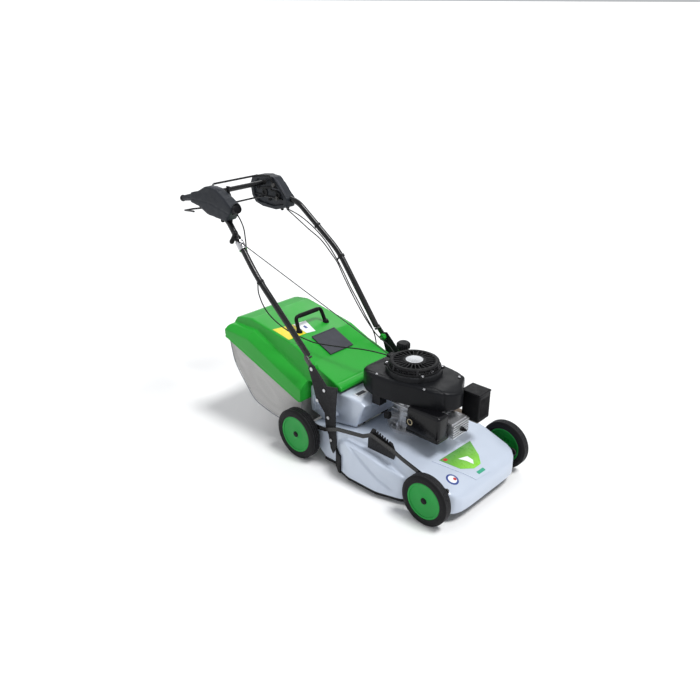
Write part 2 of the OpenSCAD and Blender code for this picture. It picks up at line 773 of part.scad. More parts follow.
module throttle_lever() color(black) {
    pivot = [-480, 1000];
    rod_y(pivot[0], pivot[1], 12, -169.5, -163);
    plate([[pivot[0] - 6, pivot[1]], [pivot[0] - 10, 1038], [pivot[0] + 8, 1038], [pivot[0] + 6, pivot[1]]],
        -169.5, -164);
}

module upper_bail() color(black) {
    pivot = [-575, 975];
    for (s = [1, -1]) rod_y(pivot[0], pivot[1], 9, min(s * 158.5, s * 169.5), max(s * 158.5, s * 169.5));
    bent_bar([[pivot[0], -164, pivot[1]], [-600, -162, 1014], [-636, -120, 1017], [-636, 120, 1017],
        [-600, 162, 1014], [pivot[0], 164, pivot[1]]], 4.5);
}

module lower_bail() color(black) {
    pivot = [-556, 918];
    for (s = [1, -1]) rod_y(pivot[0], pivot[1], 9, min(s * 158.5, s * 169.5), max(s * 158.5, s * 169.5));
    bent_bar([[pivot[0], -163.5, pivot[1]], [-612, -140, 926], [-612, 140, 926],
        [pivot[0], 163.5, pivot[1]]], 4);
    // wire loop under the right horn
    bent_bar([[-612, -140, 926], [-712, -184, 907], [-730, -212, 903], [-650, -224, 914]], 4);
}

// ---------- cables ----------

module control_cables() color(black) {
    for (path = [throttle_path, brake_path, drive_path]) cable(smooth(path, 2), 2.5);
}

module starter_rope() color(grey) {
    end = rope_eye + 11.7 * rope_dir;
    rings = 8;
    cable([for (k = [0 : rings]) rope_start + (end - rope_start) * k / rings], 2);
}

// ---------- grass box ----------

wing_top = [[-487, 434], [-470, 444], [-333, 446], [-14, 318]];
wing_low = [[-14, 226], [-470, 378], [-487, 382]];
hump_top = [[-482, 440], [-470, 470], [-374, 486], [-190, 456], [-105, 440], [0, 396], [160, 344]];
hump_low = [[168, 338], [166, 322], [10, 314], [-60, 320], [-460, 420]];

module box_lid() color(green) {
    difference() {
        union() {
            plate(concat(wing_top, wing_low), -wing_half, wing_half);
            plate(concat(hump_top, hump_low), -hump_half - 10, hump_half + 10);
        }
        plate([[-483, 360], [-483, 430], [-468, 440], [-334, 442], [0, 310], [0, 200]],
            -wing_half + 4, wing_half - 4);
        plate([[-478, 400], [-478, 438], [-466, 466], [-374, 482], [-190, 452], [-105, 436], [0, 392],
            [158, 340], [158, 320], [174, 300], [-40, 300]], -hump_half - 6, hump_half + 6);
    }
}

module box_bag() color("lightgrey") {
    outer = [[-479, 377], [-471, 212], [-312, 126], [-150, 92], [-60, 92], [-30, 120], [-30, 226],
        [-60, 240]];
    inner = [[-474, 390], [-466, 215], [-310, 131], [-150, 97], [-20, 97], [-20, 260]];
    difference() {
        plate(outer, -bag_half, bag_half);
        plate(inner, -bag_half + 4, bag_half - 4);
    }
}

module bag_frame() color(metal) {
    half = bag_half - 9;
    r = 4;
    for (s = [1, -1])
        bent_bar([[-40, 0, 108], [-40, s * half, 108], [-40, s * half, 290], [-300, s * half, 340],
            [-462, s * half, 372], [-462, 0, 372]], r);
}

module lid_handle() color(black) {
    slope_angle = atan(16 / 85);
    bent_bar([[-172.5, -80, 458.5], [-198, -74, 512], [-198, 74, 512], [-172.5, 80, 458.5]], 8.5);
    for (s = [1, -1]) translate([-170, s * 62, 452.3]) rotate([0, slope_angle, 0])
        cylinder(h = 7, r = 13);
}

module level_flap() color(grey) {
    plate([[-104, 441.5], [-104, 446], [2, 402], [2, 397.5]], -68, 68);
    rod_y(-107, 445.2, 3.6, -66, 66);
}

module rear_flap() color(dark_green) {
    rod_y(-20, 306, 5, -165, 165);
    plate([[-20, 311], [-132, 313], [-132, 309], [-22, 302]], -165, 165);
}

deck_shell();
deck_rim();
discharge_chute();
bracket_left();
bracket_right();
deck_bolts();
height_comb();
crankcase();
cylinder_head();  // cylinder
spark_plug();
carburettor();
air_cleaner_cover();
muffler();
muffler_guard();
fan_shroud();
recoil_housing();
fuel_tank();
drive_belt();
control_cables();
starter_rope();
crankshaft();
flywheel();
blade_adapter();
blade();
blade_bolt();
recoil_pulley();
gearbox_pulley();
rear_arms();
gearbox();
drive_shaft();
front_axle();
height_link();
tyre_front_left();
tyre_front_right();
tyre_rear_left();
tyre_rear_right();
rim_front_left();
rim_front_right();
rim_rear_left();
rim_rear_right();
handle_tube_left();
handle_tube_right();
handle_crossbar();
control_housing_left();
control_housing_right();
knob_left();
knob_right();
rope_guide();
starter_grip();
throttle_lever();
upper_bail();
lower_bail();
fuel_cap();
oil_cap();
box_lid();
box_bag();
bag_frame();
lid_handle();
level_flap();
rear_flap();
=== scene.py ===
import math
import bmesh
import bpy
import numpy as np
from mathutils import Matrix, Vector
from mathutils.bvhtree import BVHTree


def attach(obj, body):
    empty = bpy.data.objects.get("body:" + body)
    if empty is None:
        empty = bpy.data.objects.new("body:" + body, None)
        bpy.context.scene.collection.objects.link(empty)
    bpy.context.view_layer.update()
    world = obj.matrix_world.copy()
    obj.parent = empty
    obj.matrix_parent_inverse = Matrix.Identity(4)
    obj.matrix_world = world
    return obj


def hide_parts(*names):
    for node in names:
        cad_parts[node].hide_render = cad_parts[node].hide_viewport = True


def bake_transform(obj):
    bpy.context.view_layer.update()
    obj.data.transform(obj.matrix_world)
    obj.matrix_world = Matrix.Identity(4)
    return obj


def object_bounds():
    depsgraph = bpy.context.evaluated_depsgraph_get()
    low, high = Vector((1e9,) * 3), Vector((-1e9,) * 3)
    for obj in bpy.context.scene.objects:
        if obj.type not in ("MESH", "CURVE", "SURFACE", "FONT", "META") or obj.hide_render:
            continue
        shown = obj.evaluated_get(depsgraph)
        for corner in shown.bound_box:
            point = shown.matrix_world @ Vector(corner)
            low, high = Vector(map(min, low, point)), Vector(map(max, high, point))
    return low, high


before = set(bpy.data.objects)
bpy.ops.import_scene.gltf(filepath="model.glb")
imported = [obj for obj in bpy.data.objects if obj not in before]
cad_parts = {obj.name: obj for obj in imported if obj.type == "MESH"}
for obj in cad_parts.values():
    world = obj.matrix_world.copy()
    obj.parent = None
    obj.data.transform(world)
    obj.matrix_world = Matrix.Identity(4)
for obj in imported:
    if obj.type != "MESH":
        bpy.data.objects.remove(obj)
CAD_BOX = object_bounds()
MM = 0.001
UP = (0, 0, 1)
scene = bpy.context.scene
scene.view_settings.view_transform = "Standard"


def mm(*p):
    """A point given in millimetres, in metres."""
    return Vector(p) * MM


# ---------- camera ----------

CAMERA_PLACE = Vector((2.0010, -2.1187, 1.7330))
CAMERA_AIM = Vector((0.4862, -0.4759, 0.7080))
CAMERA_ROLL = 0.21  # degrees
CAMERA_LENS = 39.27
FLOOR_REACH = 1500  # metres, so that the floor runs out near the horizon


def make_camera():
    data = bpy.data.cameras.new("camera")
    data.sensor_width = 36.0
    data.lens = CAMERA_LENS
    data.clip_end = 4000.0
    cam = bpy.data.objects.new("camera", data)
    scene.collection.objects.link(cam)
    turn = (CAMERA_AIM - CAMERA_PLACE).to_track_quat("-Z", "Y")
    roll = Matrix.Rotation(math.radians(CAMERA_ROLL), 4, "Z")
    cam.matrix_world = Matrix.Translation(CAMERA_PLACE) @ turn.to_matrix().to_4x4() @ roll
    scene.camera = cam


make_camera()


# ---------- materials ----------

class Nodes:
    """Short way to wire one material."""

    def __init__(self, name):
        self.mat = bpy.data.materials.new(name)
        self.mat.use_nodes = True
        self.tree = self.mat.node_tree
        self.shader = self.tree.nodes["Principled BSDF"]
        self.coords = self.add("ShaderNodeTexCoord")

    def add(self, kind, **values):
        node = self.tree.nodes.new(kind)
        for key, value in values.items():
            if key in node.inputs:
                node.inputs[key].default_value = value
            else:
                setattr(node, key, value)
        return node

    def link(self, a, b):
        self.tree.links.new(a, b)

    def noise(self, scale, detail=4.0, stretch=None):
        tex = self.add("ShaderNodeTexNoise", Scale=scale, Detail=detail)
        if stretch:
            way = self.add("ShaderNodeMapping", Scale=stretch)
            self.link(self.coords.outputs["Object"], way.inputs["Vector"])
            self.link(way.outputs["Vector"], tex.inputs["Vector"])
        else:
            self.link(self.coords.outputs["Object"], tex.inputs["Vector"])
        return tex.outputs["Fac"]

    def span(self, value, low, high, from_low=0.3, from_high=0.7):
        node = self.add("ShaderNodeMapRange", **{"From Min": from_low, "From Max": from_high,
                                                 "To Min": low, "To Max": high})
        self.link(value, node.inputs["Value"])
        return node.outputs["Result"]

    def mix(self, factor, a, b):
        node = self.add("ShaderNodeMix", data_type="RGBA")
        self.link(factor, node.inputs["Factor"])
        for socket, value in ((node.inputs[6], a), (node.inputs[7], b)):
            if isinstance(value, bpy.types.NodeSocket):
                self.link(value, socket)
            else:
                socket.default_value = (*value, 1.0)
        return node.outputs[2]

    def math(self, operation, a, b=0.0):
        node = self.add("ShaderNodeMath", operation=operation)
        for k, value in enumerate((a, b)):
            if isinstance(value, bpy.types.NodeSocket):
                self.link(value, node.inputs[k])
            else:
                node.inputs[k].default_value = value
        return node.outputs[0]

    def bump(self, height, strength, distance):
        node = self.add("ShaderNodeBump", Strength=strength, Distance=distance)
        self.link(height, node.inputs["Height"])
        if self.shader.inputs["Normal"].is_linked:
            self.link(self.shader.inputs["Normal"].links[0].from_socket, node.inputs["Normal"])
        self.link(node.outputs["Normal"], self.shader.inputs["Normal"])


def finish_material(name, colour, rough, metal=0.0, vary=0.1, patch=9.0, grain=900.0, grain_depth=0.1,
                    coat=0.0, coat_rough=0.08, wear=None, wear_amount=0.5, specular=0.5):
    """Painted, moulded or cast surface with soft colour patches, fine grain and worn edges."""
    n = Nodes(name)
    shade = n.shader.inputs
    dark = tuple(c * (1 - vary) for c in colour)
    light = tuple(min(1.0, c * (1 + vary)) for c in colour)
    out = n.mix(n.span(n.noise(patch, 5.0), 0.0, 1.0), dark, light)
    if wear:
        edge = n.add("ShaderNodeNewGeometry").outputs["Pointiness"]
        mask = n.span(edge, 0.0, wear_amount, 0.53, 0.6)
        out = n.mix(n.math("MULTIPLY", mask, n.span(n.noise(160.0), 0.2, 1.0)), out, wear)
    n.link(out, shade["Base Color"])
    n.link(n.span(n.noise(patch * 4, 6.0), rough * 0.82, min(1.0, rough * 1.2)), shade["Roughness"])
    shade["Metallic"].default_value = metal
    shade["Coat Weight"].default_value = coat
    shade["Coat Roughness"].default_value = coat_rough
    shade["Specular IOR Level"].default_value = specular
    n.bump(n.noise(grain, 3.0), grain_depth, 0.0004)
    return n.mat


def woven(name, colour, pitch, depth):
    """Plain weave of threads with broad soft creases."""
    n = Nodes(name)
    threads = []
    for axis in ("X", "Y", "Z"):
        wave = n.add("ShaderNodeTexWave", wave_type="BANDS", bands_direction=axis, Scale=0.314 / pitch)
        n.link(n.coords.outputs["Object"], wave.inputs["Vector"])
        threads.append(wave.outputs["Fac"])
    net = n.math("MAXIMUM", n.math("MULTIPLY", threads[0], threads[1]), threads[2])
    patches = n.span(n.noise(5.0, 5.0), 0.0, 1.0)
    base = n.mix(patches, tuple(c * 0.93 for c in colour), tuple(min(1, c * 1.04) for c in colour))
    out = n.mix(n.span(net, 0.0, 1.0, 0.1, 0.9), tuple(c * 0.74 for c in colour), base)
    n.link(out, n.shader.inputs["Base Color"])
    n.link(n.span(patches, 0.82, 0.94), n.shader.inputs["Roughness"])
    n.shader.inputs["Sheen Weight"].default_value = 0.35
    n.bump(net, 0.35, depth)
    n.bump(n.noise(7.0, 3.0, (1.0, 1.0, 2.6)), 0.5, 0.012)
    return n.mat


def brushed(name, colour, rough):
    """Bare metal with fine lines along one way."""
    n = Nodes(name)
    grain = n.noise(240.0, 4.0, (1.0, 1.0, 12.0))
    n.link(n.mix(n.span(grain, 0.0, 1.0), tuple(c * 0.86 for c in colour), colour),
           n.shader.inputs["Base Color"])
    n.shader.inputs["Metallic"].default_value = 1.0
    n.link(n.span(grain, rough * 0.8, rough * 1.25), n.shader.inputs["Roughness"])
    n.bump(grain, 0.08, 0.0003)
    return n.mat


M = {
    "deck": finish_material("deck_paint", (0.52, 0.58, 0.68), 0.34, 0.10, 0.03, 4.0, 2600, 0.05, coat=0.5,
                            coat_rough=0.10),
    "green": finish_material("green_plastic", (0.014, 0.34, 0.026), 0.36, 0.0, 0.07, 4.0, 1500, 0.12,
                             specular=0.3),
    "rim_green": finish_material("rim_green", (0.012, 0.29, 0.045), 0.42, 0.0, 0.08, 14.0, 1300, 0.14,
                                 specular=0.25),
    "dark_green": finish_material("dark_green_plastic", (0.008, 0.12, 0.022), 0.42, 0.0, 0.1, 8.0, 1500,
                                  0.14, specular=0.3),
    "shroud": finish_material("satin_black", (0.0075, 0.008, 0.0095), 0.36, 0.0, 0.15, 12.0, 1500, 0.16,
                              specular=0.13, wear=(0.07, 0.07, 0.075), wear_amount=0.35),
    "plastic": finish_material("black_plastic", (0.006, 0.006, 0.007), 0.46, 0.0, 0.18, 14.0, 1400, 0.25,
                               specular=0.12, wear=(0.07, 0.07, 0.075), wear_amount=0.4),
    "gloss": finish_material("gloss_black", (0.004, 0.004, 0.005), 0.22, 0.0, 0.2, 18.0, 900, 0.05,
                             coat=0.06, specular=0.22, wear=(0.10, 0.10, 0.11), wear_amount=0.5),
    "paint": finish_material("black_paint", (0.005, 0.005, 0.006), 0.27, 0.0, 0.2, 16.0, 1100, 0.10,
                             coat=0.10, specular=0.35, coat_rough=0.12, wear=(0.16, 0.15, 0.14),
                             wear_amount=0.45),
    "soft": finish_material("soft_touch", (0.015, 0.018, 0.024), 0.52, 0.0, 0.12, 12.0, 1800, 0.28,
                            specular=0.28),
    "rubber": finish_material("tyre_rubber", (0.007, 0.007, 0.008), 0.50, 0.0, 0.22, 20.0, 1500, 0.30,
                              specular=0.15, wear=(0.085, 0.085, 0.09), wear_amount=0.7),
    # near-black matte finish, used for the dark band along the deck's lower edge and for the drive belt
    "dark_matte": finish_material("matte_black", (0.006, 0.006, 0.007), 0.62, 0.0, 0.2, 20.0, 1200, 0.3,
                                  specular=0.2),
    "cast": finish_material("cast_engine", (0.50, 0.51, 0.53), 0.36, 0.85, 0.16, 26.0, 700, 0.55,
                            wear=(0.80, 0.80, 0.82), wear_amount=0.7),
    "iron": finish_material("iron", (0.10, 0.10, 0.105), 0.52, 0.8, 0.25, 30.0, 500, 0.5),
    "hot": finish_material("hot_steel", (0.22, 0.17, 0.13), 0.5, 0.85, 0.3, 22.0, 600, 0.4),
    "steel": brushed("zinc_steel", (0.56, 0.56, 0.58), 0.32),
    "disc": brushed("disc_silver", (0.42, 0.43, 0.45), 0.30),
    "nylon": finish_material("white_nylon", (0.74, 0.72, 0.66), 0.45, 0.0, 0.06, 20.0, 900, 0.15),
    "grey": finish_material("grey_plastic", (0.042, 0.044, 0.055), 0.55, 0.0, 0.12, 12.0, 1500, 0.3,
                            specular=0.3),
    "cable": finish_material("cable_black", (0.006, 0.006, 0.007), 0.42, 0.0, 0.2, 60.0, 900, 0.2,
                             specular=0.3),
    "bag": woven("bag_fabric", (0.50, 0.49, 0.48), 0.0026, 0.0006),
    "seam": woven("bag_binding", (0.33, 0.34, 0.37), 0.0018, 0.0005),
}


def rope_material():
    n = Nodes("braided_cord")
    wave = n.add("ShaderNodeTexWave", wave_type="BANDS", bands_direction="DIAGONAL", Scale=110.0)
    n.link(n.coords.outputs["Object"], wave.inputs["Vector"])
    n.link(n.mix(wave.outputs["Fac"], (0.012, 0.012, 0.013), (0.06, 0.06, 0.065)),
           n.shader.inputs["Base Color"])
    n.link(n.span(wave.outputs["Fac"], 0.6, 0.8, 0.0, 1.0), n.shader.inputs["Roughness"])
    n.bump(wave.outputs["Fac"], 0.5, 0.0005)
    return n.mat


def badge_material():
    """Green panel that goes from dark at the back to lime at the front."""
    n = Nodes("badge_green")
    split = n.add("ShaderNodeSeparateXYZ")
    n.link(n.coords.outputs["Object"], split.inputs["Vector"])
    along = n.span(split.outputs["X"], 0.0, 1.0, 0.585, 0.70)
    shade = n.mix(along, (0.025, 0.15, 0.05), (0.22, 0.62, 0.03))
    n.link(n.mix(n.span(n.noise(40.0), 0.0, 0.12), shade, (0.5, 0.8, 0.3)), n.shader.inputs["Base Color"])
    n.link(n.span(n.noise(90.0), 0.25, 0.35), n.shader.inputs["Roughness"])
    n.shader.inputs["Coat Weight"].default_value = 0.4
    return n.mat


M["rope"] = rope_material()
M["badge"] = badge_material()
for name, colour, vary in (("yellow", (0.80, 0.66, 0.02), 0.04), ("white", (0.80, 0.82, 0.84), 0.03),
                           ("tan", (0.40, 0.34, 0.22), 0.04), ("blue", (0.03, 0.06, 0.25), 0.04),
                           ("red", (0.50, 0.03, 0.03), 0.04), ("teal", (0.03, 0.33, 0.20), 0.04)):
    M[name] = finish_material("label_" + name, colour, 0.4, 0.0, vary, 20.0, 900, 0.05)


# ---------- mesh tools ----------

def link(mesh, name):
    obj = bpy.data.objects.new(name, mesh)
    scene.collection.objects.link(obj)
    return obj


def from_lists(name, verts, faces):
    mesh = bpy.data.meshes.new(name)
    mesh.from_pydata([tuple(v) for v in verts], [], faces)
    mesh.validate()
    work = bmesh.new()
    work.from_mesh(mesh)
    bmesh.ops.recalc_face_normals(work, faces=work.faces)
    work.to_mesh(mesh)
    work.free()
    return link(mesh, name)


def smooth_shade(obj, angle=40.0):
    for face in obj.data.polygons:
        face.use_smooth = True
    obj.data.set_sharp_from_angle(angle=math.radians(angle))


def dress(obj, material, body=None, angle=40.0, stands_for=()):
    """Gives a piece its material, its shading, its body and the nodes that it stands for."""
    obj.data.materials.clear()
    obj.data.materials.append(M[material])
    smooth_shade(obj, angle)
    if body:
        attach(obj, body)
    if stands_for:
        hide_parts(*stands_for)
    return obj


def bake(obj):
    """Applies every modifier."""
    bpy.context.view_layer.update()
    graph = bpy.context.evaluated_depsgraph_get()
    mesh = bpy.data.meshes.new_from_object(obj.evaluated_get(graph))
    old = obj.data
    obj.modifiers.clear()
    obj.data = mesh
    bpy.data.meshes.remove(old)
    return obj


def slab(name, near, far):
    """Solid between two outlines with the same number of points."""
    n = len(near)
    faces = [tuple(range(n)), tuple(range(2 * n - 1, n - 1, -1))]
    faces += [(i, i + n, (i + 1) % n + n, (i + 1) % n) for i in range(n)]
    return from_lists(name, near + far, faces)


def prism(outline, y0, y1, name="prism"):
    """Solid between the planes y0 and y1, with an outline of (x, z), in mm."""
    return slab(name, [mm(x, y0, z) for x, z in outline], [mm(x, y1, z) for x, z in outline])


def prism_xy(outline, z0, z1, name="prism"):
    """Solid between the planes z0 and z1, with an outline of (x, y), in mm."""
    return slab(name, [mm(x, y, z0) for x, y in outline], [mm(x, y, z1) for x, y in outline])


def box(low, high, name="box"):
    """Box between two corners in mm."""
    return prism([(low[0], low[2]), (high[0], low[2]), (high[0], high[2]), (low[0], high[2])],
                 low[1], high[1], name)


def soft_box(low, high, width, segments=2, name="box"):
    """Box with bevelled edges."""
    return bake(bevel(box(low, high, name), width, segments))


def combine(a, b, operation):
    """Boolean of two solids; b is used up."""
    mod = a.modifiers.new("boolean", "BOOLEAN")
    mod.operation = operation
    mod.solver = "EXACT"
    mod.object = b
    bake(a)
    old = b.data
    bpy.data.objects.remove(b)
    bpy.data.meshes.remove(old)
    return a


def soften(obj, voxel, repeat, factor=0.5):
    """Voxel remesh and smoothing, which rounds every edge by a few voxels."""
    mod = obj.modifiers.new("remesh", "REMESH")
    mod.mode = "VOXEL"
    mod.voxel_size = voxel * MM
    mod = obj.modifiers.new("smooth", "SMOOTH")
    mod.factor = factor
    mod.iterations = repeat
    return bake(obj)


def each_vertex(obj, change):
    """Moves the vertices by change(array of points in mm, array of normals)."""
    mesh = obj.data
    co = np.empty(len(mesh.vertices) * 3)
    mesh.vertices.foreach_get("co", co)
    normals = np.empty(len(mesh.vertices) * 3)
    mesh.vertices.foreach_get("normal", normals)
    moved = change(co.reshape(-1, 3) / MM, normals.reshape(-1, 3))
    mesh.vertices.foreach_set("co", (moved * MM).ravel())
    mesh.update()
    return obj


def drop_faces(obj, test):
    """Deletes the faces for which test(centre in mm, normal) is true."""
    work = bmesh.new()
    work.from_mesh(obj.data)
    gone = [f for f in work.faces if test(f.calc_center_median() / MM, f.normal)]
    bmesh.ops.delete(work, geom=gone, context="FACES")
    work.to_mesh(obj.data)
    work.free()
    return obj


def thicken(obj, thickness):
    mod = obj.modifiers.new("solidify", "SOLIDIFY")
    mod.thickness = thickness * MM
    mod.offset = -1.0
    return bake(obj)


def bevel(obj, width, segments=2, angle=32.0):
    mod = obj.modifiers.new("bevel", "BEVEL")
    mod.width = width * MM
    mod.segments = segments
    mod.limit_method = "ANGLE"
    mod.angle_limit = math.radians(angle)
    return obj


def join(objects, name):
    """One object out of several."""
    work = bmesh.new()
    for obj in objects:
        work.from_mesh(obj.data)
        old = obj.data
        bpy.data.objects.remove(obj)
        bpy.data.meshes.remove(old)
    mesh = bpy.data.meshes.new(name)
    work.to_mesh(mesh)
    work.free()
    return link(mesh, name)


def curve_points(points, steps):
    """Catmull-Rom line through the points."""
    p = [2 * Vector(points[0]) - Vector(points[1]), *[Vector(q) for q in points],
         2 * Vector(points[-1]) - Vector(points[-2])]
    out = []
    for i in range(1, len(p) - 2):
        for k in range(steps):
            t = k / steps
            a, b, c, d = p[i - 1], p[i], p[i + 1], p[i + 2]
            out.append(0.5 * (2 * b + (c - a) * t + (2 * a - 5 * b + 4 * c - d) * t * t
                              + (3 * b - a - 3 * c + d) * t ** 3))
    return out + [p[-2]]


def rounded(points, radius, steps=6):
    """Polyline in mm with each corner replaced by a bend of about that radius."""
    p = [Vector(q) for q in points]
    out = [p[0]]
    for a, b, c in zip(p, p[1:], p[2:]):
        reach = min(radius, (b - a).length * 0.45, (c - b).length * 0.45)
        start, end = b + (a - b).normalized() * reach, b + (c - b).normalized() * reach
        for k in range(steps + 1):
            t = k / steps
            out.append(start * (1 - t) ** 2 + b * 2 * t * (1 - t) + end * t * t)
    return out + [p[-1]]


def tube(name, line, radius, sides=16, flat=1.0, dome=True):
    """Tube in mm along a line; radius is a number or one for each point. flat squeezes it sideways."""
    line = [Vector(p) for p in line]
    n = len(line)
    radii = list(radius) if hasattr(radius, "__len__") else [radius] * n
    tangents = [(line[min(i + 1, n - 1)] - line[max(i - 1, 0)]).normalized() for i in range(n)]
    if dome:
        r0, r1 = radii[0], radii[-1]
        line = [line[0] + tangents[0] * r0 * s for s in (0.0, 0.12, 0.45)] + line[1:-1] + [
            line[-1] - tangents[-1] * r1 * s for s in (0.45, 0.12, 0.0)]
        radii = [r0 * s for s in (0.5, 0.82, 1.0)] + radii[1:-1] + [r1 * s for s in (1.0, 0.82, 0.5)]
        tangents = [tangents[0]] * 3 + tangents[1:-1] + [tangents[-1]] * 3
        n = len(line)
    up = Vector((0, 0, 1)) if abs(tangents[0].z) < 0.9 else Vector((0, 1, 0))
    u = tangents[0].cross(up).normalized()
    verts = []
    for i in range(n):
        u = (u - tangents[i] * u.dot(tangents[i])).normalized()
        v = tangents[i].cross(u)
        for k in range(sides):
            a = 2 * math.pi * k / sides
            verts.append((line[i] + radii[i] * (math.cos(a) * u + flat * math.sin(a) * v)) * MM)
    faces = [(i * sides + k, i * sides + (k + 1) % sides, (i + 1) * sides + (k + 1) % sides,
              (i + 1) * sides + k) for i in range(n - 1) for k in range(sides)]
    faces += [tuple(range(sides - 1, -1, -1)), tuple(range((n - 1) * sides, n * sides))]
    return from_lists(name, verts, faces)


def lathe(name, profile, centre, axis, segments=64):
    """Solid of revolution: profile of (radius, distance along axis), closed into a ring or to the axis."""
    axis = Vector(axis).normalized()
    u = axis.orthogonal().normalized()
    v = axis.cross(u)
    centre = Vector(centre)
    verts, rings = [], []
    for r, t in profile:
        if r < 1e-6:
            rings.append([len(verts)])
            verts.append((centre + axis * t) * MM)
            continue
        rings.append(list(range(len(verts), len(verts) + segments)))
        for k in range(segments):
            a = 2 * math.pi * k / segments
            verts.append((centre + axis * t + r * (math.cos(a) * u + math.sin(a) * v)) * MM)
    faces = []
    pairs = list(zip(rings, rings[1:]))
    if len(rings[0]) > 1 and len(rings[-1]) > 1:
        pairs.append((rings[-1], rings[0]))
    for a, b in pairs:
        for k in range(segments):
            m = (k + 1) % segments
            if len(a) == 1 and len(b) == 1:
                continue
            if len(a) == 1:
                faces.append((a[0], b[m], b[k]))
            elif len(b) == 1:
                faces.append((a[k], a[m], b[0]))
            else:
                faces.append((a[k], a[m], b[m], b[k]))
    return from_lists(name, verts, faces)


def screw(centre, axis, radius=6.0, height=3.0, hexagon=False):
    """Screw head in mm, with a washer and a hollow in its crown."""
    r, h = radius, height
    washer = lathe("s", [(0, 0), (r * 1.35, 0), (r * 1.35, 0.8), (r * 1.25, 1.2), (0, 1.2)], centre, axis, 24)
    if hexagon:
        crown = lathe("s", [(0, 1), (r, 1), (r, h), (r * 0.86, h + 0.8), (0, h + 0.8)], centre, axis, 6)
    else:
        crown = lathe("s", [(0, 1), (r, 1), (r, h * 0.6), (r * 0.86, h * 0.9), (r * 0.5, h),
                            (r * 0.42, h * 0.5), (0, h * 0.5)], centre, axis, 24)
    return [washer, crown]


def step(x, low, high):
    t = np.clip((x - low) / (high - low), 0, 1)
    return t * t * (3 - 2 * t)


def distance_to(points, line, axes=(0, 1, 2)):
    """Distance of each point to a polyline, seen along the axes left out."""
    q = points[:, axes]
    best = np.full(len(q), 1e9)
    for a, b in zip(line, line[1:]):
        a, b = np.array(a, float), np.array(b, float)
        d = b - a
        t = np.clip(((q - a) @ d) / (d @ d), 0, 1)
        best = np.minimum(best, np.linalg.norm(q - a - t[:, None] * d, axis=1))
    return best


def inside(points, polygon):
    """Whether each 2-D point is inside the polygon."""
    x, y = points[:, 0], points[:, 1]
    odd = np.zeros(len(points), bool)
    for (x0, y0), (x1, y1) in zip(polygon, polygon[1:] + polygon[:1]):
        if y0 == y1:
            continue
        cross = (y0 > y) != (y1 > y)
        odd ^= cross & (x < (x1 - x0) * (y - y0) / (y1 - y0) + x0)
    return odd


def decal(name, outline, target, way, thickness, material, body, grid=6.0, lift=0.3):
    """Thin plate with an outline of 3-D points in mm, laid on target along the direction way."""
    way = Vector(way).normalized()
    pts = [Vector(p) for p in outline]
    middle = sum(pts, Vector()) / len(pts)
    u = (pts[1] - pts[0]).normalized()
    u = (u - way * u.dot(way)).normalized()
    v = way.cross(u)
    flat = [((p - middle).dot(u), (p - middle).dot(v)) for p in pts]
    work = bmesh.new()
    work.faces.new([work.verts.new((x, y, 0)) for x, y in flat])
    low = [min(p[k] for p in flat) for k in (0, 1)]
    high = [max(p[k] for p in flat) for k in (0, 1)]
    for k in (0, 1):
        at = low[k] + grid
        while at < high[k]:
            bmesh.ops.bisect_plane(work, geom=work.verts[:] + work.edges[:] + work.faces[:],
                                   plane_co=(at, 0, 0) if k == 0 else (0, at, 0),
                                   plane_no=(1, 0, 0) if k == 0 else (0, 1, 0))
            at += grid
    tree = BVHTree.FromObject(target, bpy.context.evaluated_depsgraph_get())
    for vert in work.verts:
        p = middle + u * vert.co.x + v * vert.co.y
        hit = tree.ray_cast((p + way * 60) * MM, -way)[0]
        vert.co = (hit if hit else p * MM) + way * (thickness + lift) * MM
    mesh = bpy.data.meshes.new(name)
    work.to_mesh(mesh)
    work.free()
    obj = link(mesh, name)
    mod = obj.modifiers.new("solidify", "SOLIDIFY")
    mod.thickness = (thickness + lift * 0.6) * MM
    mod.offset = -1.0 if obj.data.polygons[0].normal.dot(way) > 0 else 1.0
    bake(obj)
    return dress(obj, material, body)


def node(name, material, width=0.0, angle=30.0):
    """A CAD node keeps its shape and gets a material and softened edges."""
    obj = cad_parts[name]
    obj.data.materials.clear()
    obj.data.materials.append(M[material])
    if width:
        flat = obj.modifiers.new("flat", "DECIMATE")
        flat.decimate_type = "DISSOLVE"
        flat.angle_limit = math.radians(0.5)
        bevel(obj, width, 2, angle)
        even = obj.modifiers.new("even", "WEIGHTED_NORMAL")
        even.keep_sharp = True
    return obj


# ---------- cables and rope ----------

THROTTLE = [(-412, -184, 938), (-392, -184, 916), (-374, -184, 884), (-362, -188, 842), (-346, -196, 796),
            (-300, -208, 756), (-264, -218, 700), (-262, -216, 640), (-236, -208, 578), (-196, -190, 530),
            (-140, -166, 492), (-60, -138, 468), (-18, -124, 462), (64, -86, 460), (160, -30, 457),
            (246, 36, 434)]
BRAKE = [(-514, 184, 874), (-449, 186, 842), (-381, 190, 806), (-315, 202, 766), (-258, 214, 706),
         (-228, 218, 672), (-192, 212, 630), (-146, 208, 574), (-104, 206, 524), (-56, 200, 478),
         (0, 188, 440), (42, 186, 412), (104, 196, 374), (150, 192, 330), (204, 190, 290),
         (256, 184, 264), (310, 140, 250), (340, 64, 242)]
DRIVE = [(-528, 204, 868), (-454, 205, 851), (-375, 208, 816), (-300, 214, 762), (-240, 220, 694),
         (-196, 220, 640), (-150, 216, 582), (-104, 213, 532), (-52, 206, 478), (0, 194, 434),
         (26, 189, 386), (32, 190, 310), (26, 199, 250), (24, 202, 190), (18, 182, 154), (13, 146, 146),
         (14, 80, 147), (16, 20, 142)]
ROPE_START = Vector((262, 0, 455.5))
ROPE_EYE = Vector((-340.6, -227.1, 840))
ROPE_WAY = (ROPE_EYE - ROPE_START).normalized()
CABLE_R = 2.6
ROPE_R = 2.0


